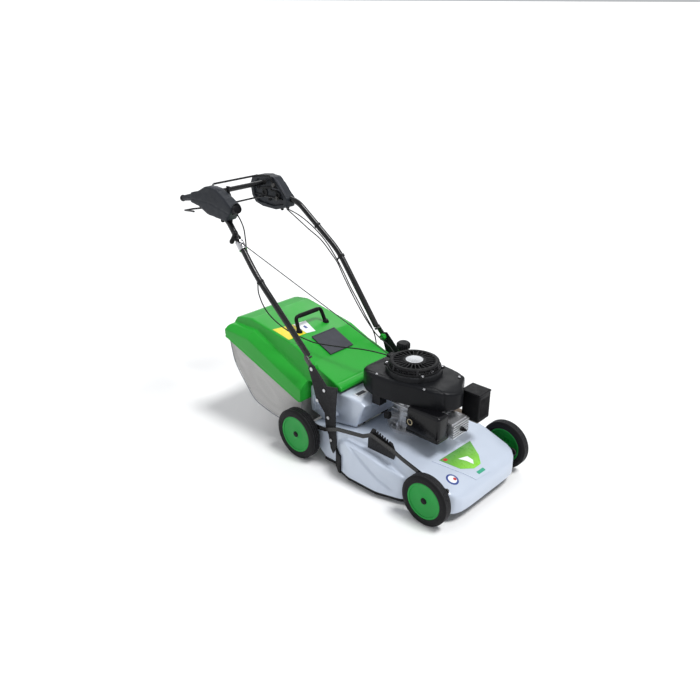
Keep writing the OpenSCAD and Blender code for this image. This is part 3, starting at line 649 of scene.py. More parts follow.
def make_cables():
    for name, path, start, end in (
            ("throttle_cable", THROTTLE, (-60, -110, 470), (-242, -214, 610)),
            ("brake_cable", BRAKE, (40, 188, 424), (-150, 190, 580)),
            ("drive_cable", DRIVE, (20, 189, 416), (-150, 200, 552))):
        obj = tube(name, curve_points(path, 8), CABLE_R, 10)
        dress(obj, "cable", None, 60.0, ("control_cables",))
        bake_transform(obj)
    line = [ROPE_START + (ROPE_EYE - ROPE_START) * (k / 40) for k in range(41)]
    rope = tube("rope_run", line, ROPE_R, 10, dome=False)
    dress(rope, "rope", None, 60.0, ("starter_rope",))
    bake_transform(rope)
    line = [ROPE_EYE + ROPE_WAY * (-4 + 24 * k / 24) for k in range(25)]
    tail = tube("rope_tail", line, ROPE_R + 0.1, 10, dome=False)
    dress(tail, "rope", None, 60.0)
    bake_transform(tail)


make_cables()


# ---------- deck ----------

DECK_PROFILE = [(30, -60), (30, 146), (42, 155), (120, 168), (245, 190), (300, 195), (480, 195), (590, 172),
                (700, 136), (728, 124), (744, 112), (755, 96), (760, 74), (760, -60)]
DECK_PLAN = [(30, -219.6), (690, -219.6), (722, -213), (744, -196), (756, -168), (760, -120), (760, 120),
             (756, 168), (744, 196), (722, 213), (690, 219.6), (30, 219.6)]
BULGE_PROFILE = [(168, -60), (180, 118), (216, 146), (249, 166), (320, 166), (400, 158), (480, 137),
                 (556, 112), (562, -60)]
BULGE_PLAN = [(172, 0), (186, 222), (225, 250), (290, 268), (430, 268), (530, 240), (556, 214), (556, 0)]
DECK_UNDER = [(0, -100), (0, 96), (30, 96), (120, 26.5), (560, 26.5), (760, 44), (800, 44), (800, -100)]
VOLUTE_CREASE = [(236, 172), (300, 148), (361, 112), (420, 80), (484, 45)]


def make_deck():
    body = combine(prism(DECK_PROFILE, -300, 300, "deck"), prism_xy(DECK_PLAN, -80, 300), "INTERSECT")
    for s in (1, -1):
        plan = [(x, s * y) for x, y in BULGE_PLAN]
        side = combine(prism_xy(plan, -50, 260), prism(BULGE_PROFILE, -300, 300), "INTERSECT")
        body = combine(body, side, "UNION")
    soften(body, 4.0, 34)

    def shape(p, normals):
        # the volute's surface is set back above and ahead of a crease
        x, y, z = p.T
        line = np.array(VOLUTE_CREASE, float)
        crease = np.interp(x, line[:, 0], line[:, 1])
        ahead = step((z - crease) * 0.72, 0.0, 7.0) * step(x, 240, 262) * (1 - step(x, 470, 530))
        fade = 1 - step(z - crease, 30.0, 105.0)
        out = np.abs(normals[:, 1]) * step(np.abs(y), 224, 234)
        p = p - normals * (7.0 * ahead * fade * out)[:, None]
        # flange along the lower edge
        low = np.interp(x, [30, 120, 560, 760], [96, 26.5, 26.5, 44])
        flange = step(z - low, 13.0, 9.0) * (np.abs(normals[:, 2]) < 0.7)
        flange = flange * step(x, 150, 190) * (1 - step(x, 560, 620))
        return p + normals * (1.4 * flange)[:, None]

    each_vertex(body, shape)
    body = combine(body, prism(DECK_UNDER, -320, 320), "DIFFERENCE")
    hole = lathe("hole", [(0, 160), (52, 160), (52, 260), (0, 260)], (385, 0, 0), UP, 48)
    chute = box((64, -168, 120), (238, 168, 260))
    drop_faces(body, lambda c, n: n.z < -0.35 and c.z < 97 and abs(n.y) < 0.5)
    thicken(body, 3.2)
    body = combine(body, hole, "DIFFERENCE")
    body = combine(body, chute, "DIFFERENCE")
    limit = np.array([[CAD_BOX[0][k] / MM, CAD_BOX[1][k] / MM] for k in range(3)])
    each_vertex(body, lambda p, n: np.clip(p, limit[:, 0], limit[:, 1]))
    body.name = "deck_skin"
    return dress(body, "deck", "chassis", 50.0, ("deck_shell",))


def make_chute():
    outer = [(52, 157), (120, 169), (245, 191), (262, 250), (285, 300), (262, 312), (170, 314), (10, 300),
             (-14, 290), (-14, 176), (40, 168)]
    body = prism(outer, -176, 176, "chute")
    soften(body, 3.6, 22)
    inner = [(20, 180), (60, 150), (240, 150), (256, 250), (270, 290), (250, 302), (170, 305), (10, 292),
             (-40, 284), (-40, 182)]
    body = combine(body, prism(inner, -170, 170), "DIFFERENCE")
    ribs = []
    for s in (1, -1):
        for k in range(5):
            low, high = sorted((s * 174, s * 186))
            ribs.append(soft_box((14 + 9 * k, low, 190 + 4 * k), (19 + 9 * k, high, 262 + 4 * k), 1.6))
        for x, z in ((79, 275), (139, 218)):
            profile = [(4.2, 0), (12, 0), (11, 46), (10.4, 46.6), (4.2, 46.6)]
            ribs.append(lathe("lug", profile, (x, s * 175, z), (0, s, 0), 32))
    for k in range(3):
        ribs.append(soft_box((60 + 70 * k, -150, 306 + 2.2 * k), (64 + 70 * k, 150, 313 + k), 1.2))
    body = join([body, *ribs], "chute_skin")
    return dress(body, "deck", "chassis", 35.0, ("discharge_chute",))


deck = make_deck()
chute = make_chute()


# ---------- nose panel, badge and stickers ----------

NOSE_UP = (0.33, 0.0, 0.94)
STICKER = (690, -142)


def nose_point(x, y):
    z = np.interp(x, [480, 590, 700, 728, 744, 755], [195, 172, 136, 124, 112, 96])
    return (x, y, float(z))


def on_nose(*points):
    return [nose_point(*p) for p in points]


def disc_outline(x, y, r, n=28):
    return [nose_point(x + r * math.cos(2 * math.pi * k / n), y + r * math.sin(2 * math.pi * k / n))
            for k in range(n)]


def make_nose():
    panel = decal("nose_panel", on_nose((592, -138), (738, -58), (743, 30), (602, 102)), deck, NOSE_UP, 2.2,
                  "deck", "chassis")
    bake(bevel(panel, 1.1, 2, 50))
    smooth_shade(panel)
    edge = on_nose((604, -112), (676, -74), (704, -24), (704, 20), (672, 52), (608, 84))
    badge = decal("nose_badge", edge, panel, NOSE_UP, 0.7, "badge", "chassis")
    strip = on_nose((718, -30), (730, -28), (731, 14), (719, 12))
    decal("nose_strip", strip, panel, NOSE_UP, 0.5, "teal", "chassis")
    tab = on_nose((610, -100), (622, -94), (622, -78), (610, -82))
    decal("nose_tab", tab, badge, NOSE_UP, 0.4, "red", "chassis", lift=0.2)
    leaf = on_nose((640, -40), (664, -20), (690, -8), (676, 8), (652, 4))
    decal("nose_leaf", leaf, badge, NOSE_UP, 0.4, "white", "chassis", lift=0.2)
    ring = decal("sticker_ring", disc_outline(*STICKER, 24), deck, NOSE_UP, 0.6, "blue", "chassis")
    decal("sticker_face", disc_outline(*STICKER, 17), ring, NOSE_UP, 0.4, "white", "chassis",
          lift=0.2)
    decal("sticker_dot", disc_outline(694, -133, 6.5), ring, NOSE_UP, 0.7, "red", "chassis",
          lift=0.3)
    label = [(198, -144, 400), (198, -24, 400), (228, -24, 400), (228, -144, 400)]
    decal("chute_label", label, chute, UP, 0.5, "white", "chassis")
    bar = [(204, -138, 400), (204, -92, 400), (222, -92, 400), (222, -138, 400)]
    decal("chute_label_bar", bar, chute, UP, 0.9, "grey", "chassis")


make_nose()


# ---------- wheels ----------

WHEEL_FACE = 281  # the wheels' outer faces, from the middle


def make_wheel(place, x, r, w, s):
    """Tyre, rim and hub cap of a wheel of radius r and width w, whose axle is at x."""
    body = "wheel_" + place
    centre, axis = (x, s * WHEEL_FACE, r), (0, -s, 0)
    rim_r = 0.72 * r
    tread = []
    for k in range(4):
        t0 = w * (0.14 + 0.2 * k)
        t1 = t0 + w * 0.12
        tread += [(r - 3.4, t0 - 1.6), (r - 0.7, t0 - 0.5), (r, t0 + 0.5), (r, t1 - 0.5), (r - 0.7, t1 + 0.5),
                  (r - 3.4, t1 + 1.6)]
    side = [(rim_r + 0.2, 3.5), (rim_r + 1.2, 1.2), (rim_r + 3, 0.6), (r * 0.80, 0.5), (r * 0.806, 1.1),
            (r * 0.82, 1.1), (r * 0.826, 0.5), (r * 0.9, 0.6), (r * 0.94, 1.8), (r - 4.2, 3.4)]
    other = [(q, w - t) for q, t in reversed(side)]
    tyre = lathe("tyre_skin_" + place, side + tread + other, centre, axis, 96)
    dress(tyre, "rubber", body, 32.0, ("tyre_" + place,))
    outer = [(13, 5.2), (17, 5.4), (20, 6.2), (rim_r * 0.5, 6.8), (rim_r * 0.86, 5.6), (rim_r * 0.88, 5.0),
             (rim_r * 0.90, 2.4), (rim_r * 0.92, 1.9), (rim_r - 1.6, 1.7), (rim_r - 0.2, 2.4),
             (rim_r - 0.1, w - 2)]
    inner = [(rim_r - 3.6, w - 1.6), (rim_r - 4.4, w - 3), (rim_r - 5, 14), (rim_r - 12, 10.6), (26, 10.2),
             (17, 11), (16.6, w - 2), (13.4, w - 2)]
    disc = lathe("rim_skin_" + place, outer + inner, centre, axis, 96)
    dress(disc, "rim_green", body, 30.0, ("rim_" + place,))
    cap = lathe("hub_cap_" + place, [(0, 0.8), (5.4, 0.8), (6, 1.6), (6.4, 2.4), (11.2, 2.6), (12.2, 3.4),
                                     (12.8, 6.4), (12.8, 8.0), (0, 8.0)], centre, axis, 48)
    dress(cap, "plastic", body, 30.0)


for axle, x, r, w in (("front", 663, 100, 40), ("rear", 0, 107.5, 46)):
    for end, s in (("left", 1), ("right", -1)):
        make_wheel(axle + "_" + end, x, r, w, s)


# ---------- engine ----------

CRANK = Vector((385, 0, 0))
FUEL_NECK = (262, 84, 0)
AIR_MARK = (474, -129.0, 290)
DOME_FEET = [(385 + 106 * math.cos(math.radians(a)), 106 * math.sin(math.radians(a)))
             for a in (35, 145, 215, 325)]
SHROUD_PLAN = [(192, -64), (214, -104), (252, -128), (293, -140), (381, -132), (479, -104), (539, -84),
               (584, -48), (604, -10), (604, 26), (574, 60), (548, 112), (500, 122), (300, 124), (232, 116),
               (196, 60)]
SHROUD_SIDE = [(186, 330), (186, 408), (222, 426), (300, 431), (470, 430), (560, 421), (610, 408), (610, 330)]
SHROUD_GROOVE = [(196, -96), (241, -116), (300, -119), (367, -112), (456, -78), (529, -58), (566, -56),
                 (600, -66)]


def make_shroud():
    body = combine(prism_xy(SHROUD_PLAN, 320, 440), prism(SHROUD_SIDE, -200, 200), "INTERSECT")
    soften(body, 3.6, 60)

    def shape(p, normals):
        near = distance_to(p, SHROUD_GROOVE, (0, 1))
        cut = 1.9 * (1 - step(near, 0.8, 4.2)) * step(p[:, 2], 366, 380)
        return p - normals * cut[:, None]

    each_vertex(body, shape)
    collar = lathe("collar", [(0, 418), (113, 418), (111.5, 431), (109, 443), (107.5, 451), (0, 451)], CRANK,
                   UP, 72)
    body = combine(body, collar, "UNION")
    body = combine(body, prism([(100, 300), (100, 346), (700, 346), (700, 300)], -300, 300), "DIFFERENCE")
    drop_faces(body, lambda c, n: n.z < -0.9 and c.z < 347)
    thicken(body, 3.0)
    bore = lathe("bore", [(0, 400), (96, 400), (96, 480), (0, 480)], CRANK, UP, 72)
    body = combine(body, bore, "DIFFERENCE")
    neck = lathe("neck", [(0, 400), (21, 400), (21, 480), (0, 480)], FUEL_NECK, UP, 40)
    body = combine(body, neck, "DIFFERENCE")
    pocket = box((290, -136, 306.5), (330, -96, 352), "pocket")
    soften(pocket, 2.0, 5)
    body = join([body, pocket], "shroud_skin")
    return dress(body, "shroud", "chassis", 45.0, ("fan_shroud",))


def ring(z, r, thick, high, name="ring"):
    half = high / 2
    return lathe(name, [(r - thick, z - half), (r, z - half), (r + 0.4, z), (r, z + half),
                        (r - thick, z + half)],
                 CRANK, UP, 96)


def spoke(angle, points, wide):
    """Bar in the plane through the crank axis, with a section of points (radius, z)."""
    bar = prism(points, -wide / 2, wide / 2)
    turn = Matrix.Translation(CRANK * MM) @ Matrix.Rotation(angle, 4, "Z")
    bar.data.transform(turn)
    return bar


def make_dome():
    parts = [ring(455, 104, 8, 6), ring(463, 98.5, 4, 2.4), ring(468.5, 96, 4, 2.4)]
    parts.append(lathe("crown", [(80, 471.5), (97.5, 471.5), (96.6, 475.2), (92, 477.6), (84, 478),
                                 (80.5, 476.5)],
                       CRANK, UP, 96))
    parts.append(lathe("hub", [(0, 470), (43, 470), (45, 472), (44, 477.0), (41, 478.0), (0, 478.0)], CRANK,
                       UP, 64))
    parts.append(lathe("well", [(0, 462.5), (92, 462.5), (92, 464), (0, 464)], CRANK, UP, 64))
    for k in range(26):
        a = 2 * math.pi * (k + 0.5) / 26
        parts.append(spoke(a, [(42, 470), (82, 471), (82, 476.4), (42, 477.4)], 3.0))
    for k in range(28):
        a = 2 * math.pi * k / 28
        parts.append(spoke(a, [(94, 456), (100.4, 456), (95.6, 473), (91, 473)], 2.4))
    for k in range(6):
        a = 2 * math.pi * (k + 0.25) / 6
        parts.append(spoke(a, [(90, 456), (103, 456), (98, 475), (90, 475)], 9.0))
    parts.append(soft_box((256, -16, 452), (300, 18, 463.5), 3.0, 3))
    parts.append(lathe("eye", [(2.6, 0), (6.5, 0), (7.5, 2), (6.5, 4), (3.4, 4.4), (2.6, 3)],
                       ROPE_START + ROPE_WAY * 0.5 + Vector((-4, 0, 2)), (-1, 0, 0.4), 28))
    for x, y in DOME_FEET:
        parts.append(lathe("foot", [(0, 449), (12, 449), (12, 455), (10.5, 457), (0, 457)], (x, y, 0), UP,
                           28))
    dome = join(parts, "dome_cage")
    bevel(dome, 0.5, 1, 40)
    bake(dome)
    dress(dome, "plastic", "chassis", 30.0, ("recoil_housing",))
    plate = lathe("dome_disc", [(0, 478), (30, 478), (33, 478.2), (34, 478.9), (31, 479.6), (28, 479.1),
                                (0, 479.3)],
                  CRANK, UP, 64)
    dress(plate, "disc", "chassis")
    heads = []
    for x, y in DOME_FEET:
        heads += screw((x, y, 456.4), UP, 5.0, 4.0, True)
    dress(join(heads, "dome_screws"), "steel", "chassis", 30.0)


def rounded_box(low, high, radius, name):
    """Box with soft corners."""
    body = box(low, high, name)
    mod = body.modifiers.new("bevel", "BEVEL")
    mod.width = radius * MM
    mod.segments = 6
    mod.limit_method = "NONE"
    return bake(body)


def make_air_cleaner():
    outer = rounded_box((453, -129, 238), (606, -60, 350), 15.0, "air_box")
    lower = rounded_box((452, -130, 240), (607, -58, 262), 9.0, "air_lip")
    parts = [outer, lower]
    mark = lathe("air_cleaner_mark", [(8.8, 0), (12.5, 0), (12.8, 0.8), (12.5, 2.0), (9.2, 2.0), (8.8, 1.0)],
                 AIR_MARK, (0, -1, 0), 40)
    dress(mark, "tan", "chassis", 30.0)
    parts.append(lathe("pin", [(0, 0), (4.0, 0), (3.6, 1.6), (0, 1.8)], AIR_MARK, (0, -1, 0), 28))
    parts.append(rounded_box((448, -122, 268), (457, -92, 300), 2.5, "clip"))
    body = join(parts, "air_cleaner_skin")
    return dress(body, "gloss", "chassis", 30.0, ("air_cleaner_cover",))


def make_guard():
    body = rounded_box((572, 62, 272), (652, 138, 390), 7.0, "guard")
    body = combine(body, box((577, 67, 277), (647, 133, 385)), "DIFFERENCE")
    for k in range(8):
        body = combine(body, box((640, 70.5 + 7.6 * k, 288), (660, 74.5 + 7.6 * k, 368)), "DIFFERENCE")
    for k in range(6):
        body = combine(body, box((588 + 9.5 * k, 130, 288), (593 + 9.5 * k, 145, 368)), "DIFFERENCE")
    shelf = rounded_box((566, 60, 383), (652.4, 138.4, 391), 2.6, "shelf")
    body = join([body, shelf], "guard_skin")
    return dress(body, "plastic", "chassis", 30.0, ("muffler_guard",))


def make_fuel_cap():
    parts = [lathe("cap", [(0, 461), (25.2, 461), (26.2, 463), (26.0, 478), (24.4, 483), (21.5, 485.4),
                           (14, 486.2), (0, 486.2)], FUEL_NECK, UP, 64)]
    for k in range(22):
        a = 2 * math.pi * k / 22
        parts.append(lathe("rib", [(0, 461.4), (2.0, 461.4), (2.0, 478), (1.2, 481), (0, 481.4)],
                           (FUEL_NECK[0] + 26.0 * math.cos(a), FUEL_NECK[1] + 26.0 * math.sin(a), 0), UP, 8))
    parts.append(lathe("neck", [(0, 440), (14, 440), (14, 461), (0, 461)], FUEL_NECK, UP, 32))
    dress(join(parts, "fuel_cap_skin"), "plastic", "fuel_cap", 32.0, ("fuel_cap",))


make_shroud()
make_dome()
make_air_cleaner()
make_guard()
make_fuel_cap()


def make_engine_trim():
    """Bolts, bosses and links that show on the cast engine."""
    heads = []
    for k in range(8):
        a = math.radians(22 + 45 * k)
        heads += screw((385 + 88 * math.cos(a), 88 * math.sin(a), 207), UP, 4.6, 4.4, True)
    for z in (244, 292):
        for y in (-46, 38):
            heads += screw((612.2, y, z), (1, 0, 0), 4.0, 3.6, True)
    for x, y in ((540, 82), (300, -122), (250, 96), (505, -92)):
        heads += screw((x, y, 424.5 if x != 300 else 429.5), UP, 4.2, 3.0, True)
    dress(join(heads, "engine_screws"), "steel", "chassis", 30.0)
    cast = []
    for k in range(5):
        cast.append(soft_box((330 + 3 * k, -72 - 1.5 * k, 214 + 22 * k), (440, -60, 219 + 22 * k), 1.2))
    for x, z in ((340, 232), (352, 318), (424, 316), (436, 236)):
        cast.append(lathe("boss", [(0, 0), (9, 0), (8, 16), (6.5, 17), (0, 17)], (x, -58, z), (0, -1, 0), 28))
    dress(join(cast, "engine_bosses"), "cast", "chassis", 32.0)
    arm = tube("governor_rod", rounded([(410, -84, 322), (446, -88, 322), (470, -88, 304)], 10), 1.8, 8)
    dress(arm, "steel", "chassis")


make_engine_trim()


# ---------- grass box ----------

def make_lid():
    wing = [(-487, 384), (-487, 430), (-483, 438), (-470, 444), (-333, 446), (-180, 385), (-14, 318),
            (-14, 232), (-30, 226), (-470, 379)]
    body = prism(wing, -231, 231, "lid")
    # the wing's top falls away from the hump to the outer edge
    for s in (1, -1):
        cut = from_lists("cut", [mm(x, y, z) for x, y, z in (
            (-520, s * 196, 449), (-333, s * 190, 449), (60, s * 186, 292), (-520, s * 260, 400),
            (-333, s * 260, 398), (60, s * 260, 236), (-520, s * 196, 520), (-333, s * 190, 520),
            (60, s * 186, 520), (-520, s * 260, 520), (-333, s * 260, 520), (60, s * 260, 520))],
            [(0, 1, 4, 3), (1, 2, 5, 4), (6, 9, 10, 7), (7, 10, 11, 8), (0, 3, 9, 6), (2, 8, 11, 5),
             (0, 6, 7, 1), (1, 7, 8, 2), (3, 4, 10, 9), (4, 5, 11, 10)])
        body = combine(body, cut, "DIFFERENCE")
    top = [(-482, 436), (-478, 452), (-466, 468), (-440, 476), (-374, 486), (-190, 456), (-105, 440),
           (0, 396), (160, 343), (167, 336), (166, 322), (10, 314), (-60, 320), (-460, 400)]
    hump = prism(top, -190, 190, "hump")
    for s in (1, -1):
        cut = from_lists("cut", [mm(x, s * y, z) for x, y, z in (
            (-520, 186, 380), (200, 184, 290), (-520, 168, 520), (200, 160, 520),
            (-520, 260, 380), (200, 260, 290), (-520, 260, 520), (200, 260, 520))],
            [(0, 1, 3, 2), (4, 6, 7, 5), (0, 4, 5, 1), (2, 3, 7, 6), (0, 2, 6, 4), (1, 5, 7, 3)])
        hump = combine(hump, cut, "DIFFERENCE")
    body = combine(body, hump, "UNION")
    soften(body, 3.6, 6)

    def shape(p, normals):
        # a moulded line runs round the wing's side, and a short slot sits on the wing
        x, y, z = p.T
        low = np.interp(x, [-487, -470, -30], [383, 379, 226])
        bead = np.exp(-((z - low - 13) / 3.0) ** 2) * (np.abs(normals[:, 1]) > 0.6) * (np.abs(y) > 215)
        back = np.exp(-((z - 396) / 3.0) ** 2) * (normals[:, 0] < -0.6)
        p = p - normals * (1.6 * bead + 1.6 * back)[:, None]
        slot = 3.2 * (1 - step(distance_to(p, [(-126, -212, 362), (-96, -214, 350)]), 5.0, 9.0))
        front = np.exp(-((x - 138) / 2.6) ** 2) * (normals[:, 2] > 0.5)
        return p - normals * (slot + 1.2 * front)[:, None]

    each_vertex(body, shape)
    drop_faces(body, lambda c, n: n.z < -0.25 and c.z < np.interp(
        c.x, [-487, -470, -30, -14, 10, 166], [392, 386, 233, 240, 318, 326]) and abs(c.y) < 226)
    thicken(body, 3.0)
    body.name = "lid_skin"
    return dress(body, "green", "grass_box", 50.0, ("box_lid",))


BAG_SIDE = [(-482, 379), (-470, 322), (-450, 262), (-392, 186), (-332, 124), (-260, 102), (-180, 90),
            (-66, 92), (-34, 116), (-30, 226)]
BAG_HALF = 209


def make_lid_label():
    yellow = [(-250, -160, 443), (-150, -160, 443), (-148, -60, 443), (-232, -60, 443)]
    white = [(-232, -59, 443), (-148, -59, 443), (-140, -14, 443), (-226, 10, 443)]
    decal("lid_label", yellow, lid, UP, 0.5, "yellow", "grass_box")
    decal("lid_label_end", white, lid, UP, 0.5, "white", "grass_box")
    mark = [(-196, -34, 443), (-178, -36, 443), (-176, -24, 443), (-198, -22, 443)]
    decal("lid_label_mark", mark, lid, UP, 1.0, "blue", "grass_box")


def make_bag():
    """Lofted shell with rings across the box, from the lid's rear edge under to its mouth.

    The rings sag between frame and seam.
    """
    spine = curve_points([(x, 0, z) for x, z in BAG_SIDE], 6)
    lid_z = lambda x: float(np.interp(x, [-487, -470, -30, 20], [386, 382, 229, 214]))
    rows = []
    n = len(spine)
    across = 34
    for i, p in enumerate(spine):
        t = i / (n - 1)
        row = []
        tangent = (spine[min(i + 1, n - 1)] - spine[max(i - 1, 0)]).normalized()
        out = Vector((tangent.z, 0, -tangent.x))
        out = -out if out.z > 0 and i > 6 else out
        for k in range(across + 1):
            v = 2 * k / across - 1
            y = BAG_HALF * v
            sag = 5.5 * math.sin(math.pi * min(1, t * 1.02)) * (1 - v * v) - 2.2 * (abs(v) ** 8)
            crease = 1.6 * math.sin(9 * t * math.pi + 2.0 * v) * math.sin(math.pi * t) * (1 - v * v)
            q = p + Vector((0, y, 0)) + Vector((0, 0, -1)) * sag * (0.35 if p.z > 200 else 1.0)
            q += Vector((-1, 0, 0)) * sag * (0.7 if p.z > 150 and p.x < -200 else 0.0)
            row.append(q + out * crease)
        rows.append(row)
    verts = [q * MM for row in rows for q in row]
    w = across + 1
    faces = [(i * w + k, i * w + k + 1, (i + 1) * w + k + 1, (i + 1) * w + k)
             for i in range(n - 1) for k in range(across)]
    # side panels run from the bottom's edge up to the lid
    for s, edge in ((-1, 0), (1, across)):
        columns = []
        for i in range(n):
            foot = rows[i][edge]
            top_z = max(lid_z(foot.x), foot.z + 0.5)
            column = [i * w + edge]
            for j in range(1, 13):
                u = j / 12
                room = min(1, (top_z - foot.z) / 90)
                bow = 6.0 * math.sin(math.pi * u) * math.sin(math.pi * i / (n - 1)) * room
                fold = 1.5 * math.sin(u * 7 + i * 0.35) * math.sin(math.pi * u)
                y = s * (BAG_HALF + 1.5 * u - bow - fold * 0.8)
                verts.append(mm(foot.x, y, foot.z + (top_z - foot.z) * u))
                column.append(len(verts) - 1)
            columns.append(column)
        for a, b in zip(columns, columns[1:]):
            for j in range(12):
                faces.append((a[j], a[j + 1], b[j + 1], b[j]))
    bag = from_lists("bag_skin", verts, faces)
    merge = bmesh.new()
    merge.from_mesh(bag.data)
    bmesh.ops.remove_doubles(merge, verts=merge.verts, dist=0.0004)
    merge.to_mesh(bag.data)
    merge.free()
    mod = bag.modifiers.new("subdivision", "SUBSURF")
    mod.levels = mod.render_levels = 1
    bake(bag)
    thicken(bag, 1.4)
    dress(bag, "bag", "grass_box", 60.0, ("box_bag",))
    seams = []
    for s in (-1, 1):
        line = [row[0 if s < 0 else across] + Vector((0, s * 0.6, -0.6)) for row in rows]
        seams.append(tube("seam", line, 2.2, 8))
    for t in (20, 38):
        seams.append(tube("seam", [q + Vector((0, 0, -0.8)) for q in rows[t]], 1.3, 6))
    binding = dress(join(seams, "bag_seams"), "seam", "grass_box", 60.0)
    # one cut: the base and back in one strip, with a panel on each side of it
    return bag


def make_box_parts():
    line = rounded([(-172.5, -80, 452), (-198, -74, 511), (-198, 74, 511), (-172.5, 80, 452)], 16, 8)
    radii = [8.2] * len(line)
    handle = tube("handle", line, radii, 20)
    grip = tube("grip", [(-198, -58 + 116 * k / 20, 511) for k in range(21)],
                [9.6 + (0.35 if k % 2 else 0) for k in range(21)], 20)
    feet = [lathe("foot", [(0, -2), (14, -2), (14, 3), (11, 7), (8.5, 12), (0, 12)], (-171, s * 80, 452.4),
                  (0.18, 0, 1), 32) for s in (1, -1)]
    dress(join([handle, grip, *feet], "lid_handle_skin"), "plastic", "grass_box", 40.0,
          ("lid_handle",))


lid = make_lid()
make_lid_label()
make_bag()
make_box_parts()


# ---------- handle ----------

TUBE_R = 12.5
CROSSBAR_R = 11
LEFT_TUBE = [(14, 207, 442), (-242, 238, 723), (-458, 200, 915), (-538, 199, 922)]


def side(points, s):
    """The left side's points, or their mirror image when s is -1."""
    return [(x, s * y, z) for x, y, z in points]


def make_tubes():
    for s, name in ((1, "left"), (-1, "right")):
        foot, knee = [Vector(p) for p in side(LEFT_TUBE, s)[:2]]
        pipe = tube("tube", rounded(side(LEFT_TUBE, s), 60, 10), TUBE_R, 28)
        # flattened foot that the fold bolt goes through
        web = prism([(58, 392), (40, 392), (2, 430), (2, 446), (16, 452), (60, 410)],
                    *sorted((s * 217.4, s * 221.4)))
        bake(bevel(web, 1.2))
        plug = lathe("plug", [(0, 0), (12.9, 0), (12.9, 5), (11, 7), (0, 7)],
                     foot - (knee - foot).normalized() * 3, foot - knee, 28)
        dress(join([pipe, web, plug], "tube_skin_" + name), "paint", "handle", 35.0,
              ("handle_tube_" + name,))
    bar = tube("crossbar_skin", [(-638, -172 + 344 * k / 12, 979) for k in range(13)], CROSSBAR_R, 24)
    dress(bar, "paint", "handle", 35.0, ("handle_crossbar",))


RIGHT_HOUSING = [(-396, 974), (-402, 950), (-434, 910), (-552, 919), (-608, 944), (-664, 952), (-664, 994),
                 (-622, 1003), (-570, 1031), (-536, 1034), (-500, 1031), (-440, 1002)]
LEFT_HOUSING = [(-500, 884), (-496, 924), (-517, 942), (-551, 978), (-586, 1008), (-640, 1012), (-694, 1004),
                (-729, 990), (-745, 958), (-735, 904), (-712, 876), (-664, 864), (-575, 862)]
PANEL = [(-522, 894), (-520, 930), (-566, 976), (-600, 994), (-690, 986), (-722, 958), (-716, 908),
         (-690, 884), (-590, 878)]


def squash(obj, centre, factors):
    """Scales a mesh about a point."""
    at = Matrix.Translation(Vector(centre) * MM)
    obj.data.transform(at @ Matrix.Diagonal((*factors, 1.0)) @ at.inverted())
    return obj


def make_horn(s):
    return tube("horn", [(-630, s * 202, 976), (-664, s * 202, 971), (-700, s * 203, 963),
                         (-730, s * 203.6, 956), (-748, s * 204, 952)], [20, 18, 15, 13.2, 12.6], 24)


def make_horn_cap(s, name):
    cap = tube("horn_cap_" + name, [(-741, s * 203.8, 953.6), (-748, s * 204, 952), (-758, s * 204.2, 949.6)],
               [14.4, 14.6, 13.2], 24)
    dress(cap, "plastic", "handle")


def make_right_housing():
    body = combine(prism(RIGHT_HOUSING, -230, -170, "housing"), make_horn(-1), "UNION")
    soften(body, 3.2, 12)

    def shape(p, normals):
        # the shell narrows towards its top, and a line parts its two halves
        p = p.copy()
        p[:, 1] = -200 + (p[:, 1] + 200) * (1 - 0.26 * step(p[:, 2], 950, 1034))
        line = np.interp(p[:, 0], [-660, -540, -400], [968, 972, 944])
        cut = 1.5 * (1 - step(np.abs(p[:, 2] - line), 0.7, 2.8))
        return p - normals * (cut * (np.abs(normals[:, 1]) > 0.4))[:, None]

    each_vertex(body, shape)
    body.name = "housing_skin_right"
    dress(body, "soft", "handle", 50.0, ("control_housing_right",))
    make_horn_cap(-1, "right")
    pad = lathe("pad", [(0, 1022), (19, 1022), (20.5, 1026), (19.5, 1031), (15, 1034.4), (0, 1036)],
                (-528, -200, 0), UP, 48)
    squash(pad, (-528, -200, 0), (1.9, 0.86, 1.0))
    brow = lathe("brow", [(0, 1012), (22, 1012), (22.6, 1018), (21.0, 1024), (0, 1024)], (-534, -200, 0), UP,
                 48)
    squash(brow, (-534, -200, 0), (2.0, 0.98, 1.0))
    pad.name = "housing_pad"
    brow.name = "housing_brow"
    dress(pad, "grey", "handle", 50.0)
    dress(brow, "plastic", "handle", 50.0)
    parts = [tube("nose", [(-424, -200, 950), (-410, -200, 957), (-394, -200, 965)], [19, 19.5, 18], 28),
             tube("nose_lip", [(-396, -200, 964), (-392, -200, 966)], [20.6, 20.6], 28)]
    for x, y, z, r in ((-440, -196, 902, 9), (-478, -206, 905, 9), (-560, -205, 920, 9),
                       (-616, -204, 938, 12)):
        parts.append(tube("nub", [(x, y, z + 16), (x - 1, y, z + 4), (x - 3, y, z - 9)], [r, r, r * 0.86],
                          18))
    dress(join(parts, "housing_trim_right"), "plastic", "handle", 40.0)


